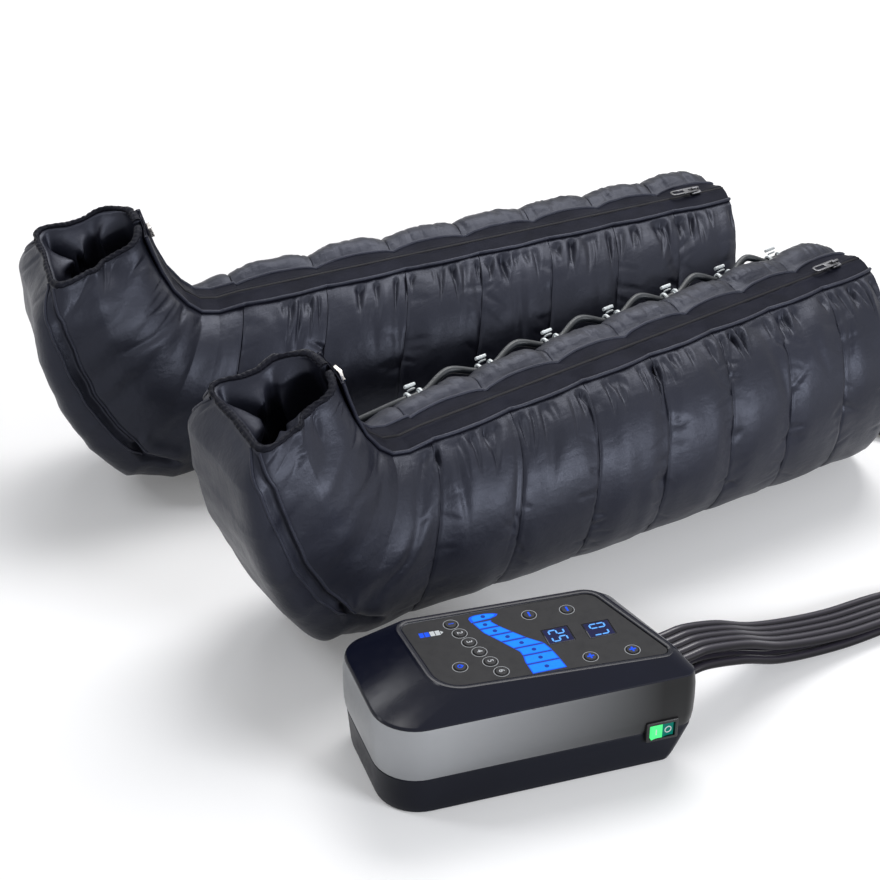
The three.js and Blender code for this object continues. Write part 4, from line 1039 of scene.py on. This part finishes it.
def metal_bits(side):
    """Slider, pull tab and the bright end of the zip."""
    size = BOOTS[side][3]
    scale, turn = Matrix.Scale(size, 4), Matrix.Rotation(BOOTS[side][2], 4, "Z")
    place = Matrix.Translation(Vector(to_row(side, boot_point(CHAMBERS * 0.93, RIGHT, -1.8))))
    lean = turn @ Matrix.Rotation(-math.asin(leg_axis()[2]), 4, "Y")
    body = block("slider", (13, 11, 3.2), (0, 0, 1.7), 1.1, 4)
    for waist in [block("waist", (4, 4, 8), (7.2, y, 1.8), 0.8) for y in (-6.2, 6.2)]:
        cut(body, waist)
    arch = block("arch", (9.2, 3, 5.9), (0, 0, 5.05), 0.7)
    cut(arch, block("eye", (6.2, 11, 2.9), (0, 0, 5.05), 0.4))
    slider = joined(f"{side}_slider_body", [body, arch])
    smoothed(moved(slider, place @ lean @ scale))
    dress(slider, "dark zip metal", f"{side}_slider", [f"{side}_zip_slider"])

    outline = [(1, -6), (1, 6), (-26, 6), (-30, 5), (-32, 3), (-32, -3), (-30, -5), (-26, -6)]
    tab = slab(f"{side}_pull", outline, -0.7, 0.7)
    cut(tab, block("eye", (8, 5.4, 6), (-5, 0, 0), 0.8))
    cut(tab, block("ring", (14, 6.8, 6), (-22.4, 0, 0), 1.6))
    bevelled(tab, 0.35, 2)
    pivot = Matrix.Translation((0, 0, 0.00505 * size))
    smoothed(moved(tab, place @ lean @ pivot @ scale))
    dress(tab, "dark zip metal", f"{side}_tab", [f"{side}_pull_tab"])

    low, high = (Vector(v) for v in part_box(f"{side}_zip_end"))
    down = boot_point(-1 + 1 / FOOT_STEPS, RIGHT, 0) - boot_point(-1, RIGHT, 0)
    tilt = math.atan2(down[0], down[2]) + math.pi
    body = block("clip", (4.6, 14.4, 12.6), bevel=1.1, segments=4)
    for z in (3.2, -3.2):
        cut(body, block("slot", (3, 8, 1.6), (1.8, 0, z), 0.2))
    lips = [block("lip", (0.9, 14.6, 1.8), (1.9, 0, z), 0.3) for z in (-5.2, 5.2)]
    clip = joined(f"{side}_zip_clip", [body, *lips])
    smoothed(moved(clip, Matrix.Translation((low + high) / 2) @ turn @ Matrix.Rotation(tilt, 4, "Y") @ scale))
    dress(clip, "bright zip metal", nodes=[f"{side}_zip_end"])


# Hoses


def hose_loom(side):
    angle = LOOM_ANGLES[side]
    step = leg_axis() * 12
    points = [boot_point(-0.28, angle * 0.75, -2.2), boot_point(-0.14, angle * 0.75, -LOOM_STAND_OFF)]
    for i in range(CHAMBERS):
        middle = boot_point(i + 0.5, angle, -LOOM_STAND_OFF)
        points += [middle - step, middle, middle + step]
        if i < CHAMBERS - 1:
            points.append(boot_point(i + 1.0, angle, -LOOM_STAND_OFF - 13))
    points.append(boot_point(CHAMBERS - 0.24, angle, -LOOM_STAND_OFF))
    points += [np.array([LEG + 1.1, 122, 112]), np.array([LEG + 13.1, 104, 100])]
    obj = swept(f"{side}_hose", to_row(side, catmull(points)), circle(0.0043 * BOOTS[side][3], 16), TRIM_STEPS)
    dress(obj, "air hose", nodes=[f"{side}_hose_loom"])


def connector():
    """A T-piece: a collared barrel along the hose, a stem with a flange towards the boot, and a head."""
    pieces = [drum("barrel", 6.4, 19.6, axis="X", sides=28, bevel=0.6)]
    pieces += [drum("collar", 7.4, 3.4, (x, 0, 0), "X", 28, 0.8) for x in (-8.2, -3.2, 3.2, 8.2)]
    for name, radius, length, z, sides, bevel in (
        ("stem", 4.1, 8.2, -9.8, 24, 0.4), ("flange", 6.4, 2.0, -7.2, 28, 0.6), ("neck", 3.4, 9, 8.0, 24, 0.4),
        ("ring", 4.8, 1.6, 8.4, 24, 0.5),
    ):
        pieces.append(drum(name, radius, length, (0, 0, z), "Z", sides, bevel))
    pieces.append(block("head", (13.5, 5.6, 3.6), (0, 0, 13.2), 1.0))
    return cut(joined("connector", pieces), drum("bore", 5.0, 40, axis="X", sides=28))


def connectors():
    master = connector()
    along = Vector(leg_axis())
    for i in range(CHAMBERS):
        middle, foot = (Vector(boot_point(i + 0.5, LOOM_ANGLES["near"], low)) for low in (-LOOM_STAND_OFF, 0))
        across = (middle - foot).cross(along).normalized()
        out = along.cross(across).normalized()
        turn = Matrix((along, across, out)).transposed().to_4x4()
        piece = master.copy()
        piece.data = master.data.copy()
        piece.name = piece.data.name = f"hose_connector_{i + 1}"
        bpy.context.scene.collection.objects.link(piece)
        smoothed(moved(piece, Matrix.Translation(Vector(to_row("near", middle))) @ turn))
        dress(piece, "hose connector", nodes=[f"near_connector_{i + 1}"])
    bpy.data.objects.remove(master, do_unlink=True)


def band_section():
    """Half-round tubes side by side, joined by thin webs."""
    side = TUBES * TUBE_PITCH / 2
    xs = np.linspace(-side, side, 14 * TUBES + 1)
    off = (xs + side) % TUBE_PITCH - TUBE_PITCH / 2
    high = TUBE_RADIUS * np.sqrt(np.clip(1 - (off / (TUBE_PITCH / 2)) ** 2, 0, 1))
    high = np.maximum(high, TUBE_WEB)
    high[0] = high[-1] = 0.5
    upper = np.stack([xs, high], -1)
    return np.concatenate([upper, (upper * [1, -1])[::-1]]) / 1000


def hose_band(side, route):
    fine = (catmull(route) - ORIGIN) / 1000
    path, gone = evenly(fine, ROUTE_STEPS)
    obj = swept(f"{side}_band", fine, band_section(), BAND_STEPS)
    dress(obj, "hose band", nodes=[f"{side}_hose_band"])


# Pieces of the control unit


def on_unit(obj):
    return moved(obj, UNIT)


def flat_mark(name, outline, finish, height, low=OVERLAY_TOP, body=BODY):
    """A thin printed or lit shape on the panel: an outline in the unit's millimetres."""
    return dress(on_unit(slab(name, outline, low + 0.03, low + 0.03 + height)), finish, body)


def torus(name, place, radius, thick, sides, **values):
    deselect()
    bpy.ops.mesh.primitive_torus_add(
        major_radius=radius / 1000, minor_radius=thick / 1000, major_segments=sides[0], minor_segments=sides[1],
        location=metres(place), **values,
    )
    return named(name)


def ring_mark(name, place, radius, width, finish, low, body=BODY):
    obj = torus(name, (*place, low), radius, width / 2, (40, 6))
    obj.scale = (1, 1, 0.35)
    settled(obj)
    bpy.ops.object.shade_smooth()
    return dress(on_unit(obj), finish, body)


def number_mark(name, text, place, finish, low, body):
    deselect()
    bpy.ops.object.text_add(location=metres((*place, low + 0.04)), rotation=(0, 0, -RIGHT))
    font = bpy.context.object.data
    font.body, font.size, font.extrude = text, 0.0082, 0.00005
    font.align_x, font.align_y = "CENTER", "CENTER"
    bpy.ops.object.convert(target="MESH")
    return dress(on_unit(settled(named(name))), finish, body)


def oblong(x, y, a, b):
    return [(x - a, y - b), (x + a, y - b), (x + a, y + b), (x - a, y + b)]


def bar_mark(name, place, length, width, low, body, upright=False):
    """A short bar on a key, along the unit's depth, or across it."""
    sides = (length / 2, width / 2) if upright else (width / 2, length / 2)
    return flat_mark(name, oblong(*place, *sides), "blue light", 0.09, low, body)


def plug_place(z, back=0.0):
    """Where a plug sits in the slanted right side, at a level and as far behind the face."""
    x, y = PLUG_X - back * math.cos(SIDE_SLANT), PLUG_Y - back * math.sin(SIDE_SLANT)
    return Matrix.Translation(metres((x, y, z))) @ Matrix.Rotation(SIDE_SLANT, 4, "Z")


def cases():
    ledge = OVERLAY_TOP - OVERLAY_THICK - 0.35
    rings = [case_ring(*r) for r in CASE_WALL] + [panel_ring(*r) for r in CASE_LIP]
    rings += [panel_ring(*r) for r in ((0, ledge), (5, ledge), (5, ledge - 3), (0, ledge - 3))]
    upper = lofted("upper_case", rings + [case_ring(3, 105), case_ring(3, 45.175)], hollow=True)
    lower = lofted("lower_case", [base_ring(*r) for r in BASE_WALL])
    for case in (upper, lower):
        cut(case, block("hole", *SWITCH_HOLE))
    for z in PLUG_LEVELS.values():
        cut(upper, moved(block("plug hole", (44, 56.7, 13.7)), plug_place(z, 2)))
    for case, finish, key in ((upper, "upper case", "upper_case"), (lower, "lower case", "lower_case")):
        smoothed(case, 24)
        dress(on_unit(case), finish, nodes=[f"unit_{key}"])
    upper.data.materials.append(material("gloss case"))
    for face in upper.data.polygons:
        if face.normal.z > 0.3 and face.center.z > 0.1:
            face.material_index = 1


def overlay():
    rings = ((0.35, OVERLAY_TOP - OVERLAY_THICK), (0.35, OVERLAY_TOP - 0.2), (0.55, OVERLAY_TOP))
    film = lofted("panel_film", [panel_ring(*r) for r in rings])
    for shares in KEYS.values():
        cut(film, drum("hole", KEY_HOLE_RADIUS, 8, (*panel_place(*shares), OVERLAY_TOP), sides=40))
    for across, back, _ in DISPLAYS.values():
        cut(film, block("hole", (28.6, 24.6, 8), (*panel_place(across, back), OVERLAY_TOP), 0.9))
    smoothed(film, 28)
    dress(on_unit(film), "panel film", nodes=["unit_overlay"])


def keys():
    top = OVERLAY_TOP + 1
    for name, shares in KEYS.items():
        x, y = place = panel_place(*shares)
        cap = bevelled(drum(name, KEY_RADIUS, 5.4, (x, y, top - 2.7), sides=40), 0.6)
        smoothed(cap, 40)
        dress(on_unit(cap), "key film", name, [f"unit_{name}"])
        ring_mark(f"{name}_ring", place, 7.5, 0.6, "key ring", OVERLAY_TOP)
        if "minus" in name or "plus" in name:
            bar_mark(f"{name}_bar", place, 7.0, 2.0, top, name)
            if "plus" in name:
                bar_mark(f"{name}_cross", place, 7.0, 2.0, top + 0.01, name, upright=True)
        elif name == "power_key":
            ring_mark("power_key_sign", place, 2.2, 1.1, "blue light", top + 0.05, name)
            bar_mark("power_key_stroke", (x + 1.7, y), 3.4, 1.1, top + 0.06, name, upright=True)
        else:
            finish = "blue light" if name.endswith("1") else "printed mark"
            number_mark(f"{name}_number", name[-1], place, finish, top, name)


def digit(name, figure, x, y):
    """One lit seven-bar figure. It reads from the back of the unit to the front."""
    half, w, t = 0.85, 3.1, 7.5
    bars = {
        "a": ((-w, t), (w, t)), "g": ((-w, 0), (w, 0)), "d": ((-w, -t), (w, -t)),
        "f": ((-w, t), (-w, 0)), "e": ((-w, 0), (-w, -t)), "b": ((w, t), (w, 0)), "c": ((w, 0), (w, -t)),
    }
    for key in SEGMENTS[figure]:
        (x0, y0), (x1, y1) = bars[key]
        size = math.hypot(x1 - x0, y1 - y0)
        ux, uy = (x1 - x0) / size, (y1 - y0) / size
        a, b = 0.3, size - 0.3
        points = [(a, 0), (a + half, half), (b - half, half), (b, 0), (b - half, -half), (a + half, -half)]
        glyph = [(x0 + ux * p - uy * q, y0 + uy * p + ux * q) for p, q in points]
        flat_mark(f"{name}_{key}", [(x + q, y - p) for p, q in glyph], "pale blue light", 0.06, OVERLAY_TOP + 0.04)


def displays():
    for name, (across, back, figures) in DISPLAYS.items():
        x, y = panel_place(across, back)
        window = smoothed(block(f"{name}_window", (28, 24, 4.4), (x, y, OVERLAY_TOP - 2.2), 0.4))
        dress(on_unit(window), "display window", nodes=[f"unit_{name}"])
        flat_mark(f"{name}_glow", oblong(x, y, 12.6, 11), "night blue light", 0.04)
        for k, figure in enumerate(figures):
            digit(f"{name}_{k}", figure, x, y + 5.4 - 10.8 * k)


def leg_sign():
    """A lit leg in eight lengths, foot at the back, with a dot in each."""

    def edge(line, y):
        return float(np.interp(y, *zip(*line[::-1])))

    def part(top, bottom, inset):
        ys = np.linspace(top - 0.5 - inset, bottom + 0.5 + inset, 5)
        left, right = ([(edge(line, y) + shift, float(y)) for y in ys] for line, shift in (
            (LEG_LEFT, inset), (LEG_RIGHT, -inset),
        ))
        return left + right[::-1]

    def centre(outline):
        return [sum(p[i] for p in outline) / len(outline) for i in (0, 1)]

    cx, cy = centre(FOOT_SIGN)
    inner = [(x + (cx - x) * 0.2, y + (cy - y) * 0.2) for x, y in FOOT_SIGN]
    shapes = [(FOOT_SIGN, inner)] + [(part(a, b, 0), part(a, b, 1.1)) for a, b in zip(LEG_PARTS, LEG_PARTS[1:])]
    for k, (outline, glow) in enumerate(shapes):
        cx, cy = centre(glow)
        dot = [(cx + 2.3 * math.cos(t), cy + 2.3 * math.sin(t)) for t in np.arange(18) / 18 * TURN]
        flat_mark(f"leg_sign_{k + 1}", outline, "blue light", 0.06)
        flat_mark(f"leg_sign_glow_{k + 1}", glow, "azure light", 0.05, OVERLAY_TOP + 0.05)
        flat_mark(f"leg_sign_dot_{k + 1}", dot, "deep blue light", 0.05, OVERLAY_TOP + 0.09)


def battery_sign():
    for k, x in enumerate((-88, -82.6, -77.2, -71.8)):
        y = 45.5 - 0.25 * k
        outline = [(x, y - 3.6), (x + 4.6, y - 3.7), (x + 4.6, y + 3.6), (x, y + 3.7)]
        flat_mark(f"battery_{k + 1}", outline, "blue light" if k < 2 else "white mark", 0.08)
    flat_mark("battery_tip", [(-66.4, 42), (-63.6, 44.4), (-66.4, 47)], "white mark", 0.08)


def rocker_switch():
    frame_y, half, tall, steps = -73.6, 12.1, 16.3, 8
    pivot_y = frame_y - 2
    rim = block("switch_frame", (33.4, 14, 23.4), (SWITCH_X, frame_y, SWITCH_Z), 1.2)
    cut(rim, block("eye", (27, 40, 17), (SWITCH_X, frame_y, SWITCH_Z), 0.8))
    smoothed(rim)
    dress(on_unit(rim), "switch black", nodes=["unit_rocker_frame"])
    for name, x0, y0, x1, y1, finish, nodes in (
        ("rocker_lit", -half, -6.4, 0, -5, "green light", ()),
        ("rocker_plain", 0, -5, half, -3.6, "teal light", ["unit_rocker"]),
    ):
        face = [
            (x0 + (x1 - x0) * k / steps, y0 + (y1 - y0) * k / steps + 0.9 * math.sin(math.pi * k / steps))
            for k in range(steps + 1)
        ]
        outline = [(SWITCH_X + x, pivot_y + y) for x, y in face + [(x1, 3), (x0, 3)]]
        piece = slab(name, outline, SWITCH_Z - tall / 2, SWITCH_Z + tall / 2)
        smoothed(bevelled(piece, 0.5, 2, 50))
        dress(on_unit(piece), finish, "rocker", nodes)
    place = (126.2, pivot_y - 4.1, SWITCH_Z)
    sign = torus("switch_off_sign", place, 3.4, 0.45, (32, 8), rotation=(RIGHT, 0, math.atan2(1.4, half)))
    dress(on_unit(settled(sign)), "white mark", "rocker")
    bar = block("switch_on_sign", (1.1, 0.5, 6.4), (113.4, pivot_y - 5.0, SWITCH_Z), 0.2)
    dress(on_unit(bar), "white mark", "rocker")


def plugs():
    for side, z in PLUG_LEVELS.items():
        body = block("plug", (22, 56, 13), (-2, 0, 0), 2.2, 4)
        ribs = [block("rib", (1.4, 55.2, 12.6), (x, 0, 0), 0.5) for x in (3.4, 5.8)]
        whole = smoothed(moved(joined(f"{side}_plug", [body, *ribs]), plug_place(z)))
        dress(on_unit(whole), "hose plug", nodes=[f"{side}_hose_plug"])


def inner_parts():
    for node, finish in (("unit_circuit_board", "circuit board"), ("unit_air_pump", "pump metal")):
        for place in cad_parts[node].material_slots:
            place.material = material(finish)


# Settings, operators and the panel


def colour_setting(name, description, default):
    return bpy.props.FloatVectorProperty(
        name=name, description=description, default=default, subtype="COLOR", size=3, min=0, max=1,
    )


class BootLooks(bpy.types.PropertyGroup):
    cloth_colour: colour_setting("Cloth colour", "Colour of the satin nylon", (0.0095, 0.0102, 0.0165))
    hose_colour: colour_setting("Hose colour", "Colour of the air hoses on the boots", (0.014, 0.018, 0.023))
    band_colour: colour_setting("Band colour", "Colour of the flat hose bands", (0.028, 0.025, 0.036))
    case_colour: colour_setting("Case colour", "Colour of the control unit's upper case", (0.105, 0.108, 0.113))
    pleat_depth: bpy.props.FloatProperty(
        name="Pleat depth", description="Depth of the folds drawn in at the seams", default=0.0042, min=0, max=0.01,
        unit="LENGTH",
    )
    lens: bpy.props.FloatProperty(
        name="Lens", description="Focal length of the camera", default=75.24, min=20, max=200, unit="CAMERA",
    )
    lamp_level: bpy.props.FloatProperty(
        name="Lamp level", description="Level of all the lamps", default=1.0, min=0, max=4, subtype="FACTOR",
    )


class BOOTS_OT_stage(bpy.types.Operator):
    """Makes the camera, the lamps, the world and the floor"""

    bl_idname = "boots.stage"
    bl_label = "Stage"

    def execute(self, context):
        scene = context.scene
        looks = scene.boot_looks
        camera = bpy.data.cameras.new("camera")
        camera.sensor_width, camera.lens = 36, looks.lens
        camera.clip_start, camera.clip_end = 0.05, 50
        obj = bpy.data.objects.new("camera", camera)
        obj.location = CAMERA_PLACE
        obj.rotation_euler = (math.radians(90 - CAMERA_DOWN), 0, math.radians(CAMERA_TURN))
        scene.collection.objects.link(obj)
        scene.camera = obj
        scene.view_settings.view_transform = "Standard"

        deselect()
        bpy.ops.mesh.primitive_plane_add(size=FLOOR_SIZE, location=(0, 0, -FLOOR_DROP))
        floor = named("floor")
        floor.data.materials.append(material("pale floor"))

        scene.world = bpy.data.worlds.new("pale room")
        s = Shader(scene.world, "ShaderNodeOutputWorld")
        level = ROOM_LEVEL + (1 - ROOM_LEVEL) * s.seen()
        s.surface(s.node("ShaderNodeBackground", Color=(1, 1, 1), Strength=level))

        for name, place, target, width, height, power, colour in LAMPS:
            light = bpy.data.lights.new(name, "AREA")
            light.shape, light.size, light.size_y = "RECTANGLE", width, height
            light.energy, light.color = power * looks.lamp_level, colour
            obj = bpy.data.objects.new(name, light)
            obj.location = place
            obj.rotation_mode = "QUATERNION"
            obj.rotation_quaternion = (Vector(target) - Vector(place)).to_track_quat("-Z", "Y")
            scene.collection.objects.link(obj)
        return {"FINISHED"}


class BOOTS_OT_bands(bpy.types.Operator):
    """Makes the two flat hose bands"""

    bl_idname = "boots.bands"
    bl_label = "Hose bands"

    def execute(self, context):
        for side, route in BANDS.items():
            hose_band(side, route)
        return {"FINISHED"}


class BOOTS_OT_air_cells(bpy.types.Operator):
    """Makes the padded air cells of both boots, with their rim bindings and sole piping"""

    bl_idname = "boots.air_cells"
    bl_label = "Air cells"

    def execute(self, context):
        rows, columns = ((84, 230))
        for order, side in enumerate(BOOTS):
            seed = 100 + 50 * order
            foot, rim = air_cell(side, f"{side}_foot", -1, -SEAM_GAP, int(rows * 2.2), columns + 50, seed, foot=True)
            dress(foot, "satin nylon", nodes=[f"{side}_foot_chamber"])
            toe_binding(side, rim)
            sole_piping(side, rim)
            for i in range(CHAMBERS):
                start, end = i + SEAM_GAP, i + 1 - SEAM_GAP
                cell, _ = air_cell(side, f"{side}_cuff_{i + 1}", start, end, rows, columns, seed + 5 * i + 5)
                dress(cell, "satin nylon", nodes=[f"{side}_leg_chamber_{i + 1}"])
        return {"FINISHED"}


class BOOTS_OT_trim(bpy.types.Operator):
    """Makes the plackets, their piping and the zip metal"""

    bl_idname = "boots.trim"
    bl_label = "Trim and zips"

    def execute(self, context):
        for side in BOOTS:
            zip_tape(side)
            metal_bits(side)
        return {"FINISHED"}


class BOOTS_OT_hoses(bpy.types.Operator):
    """Makes the air hoses on the boots and their connectors"""

    bl_idname = "boots.hoses"
    bl_label = "Hoses and connectors"

    def execute(self, context):
        for side in BOOTS:
            hose_loom(side)
        connectors()
        return {"FINISHED"}


class BOOTS_OT_control_unit(bpy.types.Operator):
    """Makes the control unit with its panel, keys, displays, switch and plugs"""

    bl_idname = "boots.control_unit"
    bl_label = "Control unit"

    def execute(self, context):
        for make in (cases, overlay, keys, displays, leg_sign, battery_sign, rocker_switch, plugs, inner_parts):
            make()
        return {"FINISHED"}


STEPS = ("stage", "bands", "air_cells", "trim", "hoses", "control_unit")


class BOOTS_PT_panel(bpy.types.Panel):
    """Lists the settings and the pieces"""

    bl_label = "Compression boots"
    bl_idname = "BOOTS_PT_panel"
    bl_space_type = "VIEW_3D"
    bl_region_type = "UI"
    bl_category = "Boots"

    def draw(self, context):
        looks = context.scene.boot_looks
        for key in BootLooks.__annotations__:
            self.layout.prop(looks, key)
        for step in STEPS:
            self.layout.operator(f"boots.{step}")


CLASSES = (
    BootLooks, BOOTS_OT_stage, BOOTS_OT_bands, BOOTS_OT_air_cells, BOOTS_OT_trim, BOOTS_OT_hoses,
    BOOTS_OT_control_unit, BOOTS_PT_panel,
)


def register():
    for cls in CLASSES:
        bpy.utils.register_class(cls)
    bpy.types.Scene.boot_looks = bpy.props.PointerProperty(type=BootLooks)


def unregister():
    del bpy.types.Scene.boot_looks
    for cls in reversed(CLASSES):
        bpy.utils.unregister_class(cls)


def main():
    register()
    for step in STEPS:
        getattr(bpy.ops.boots, step)()


if __name__ == "__main__":
    main()
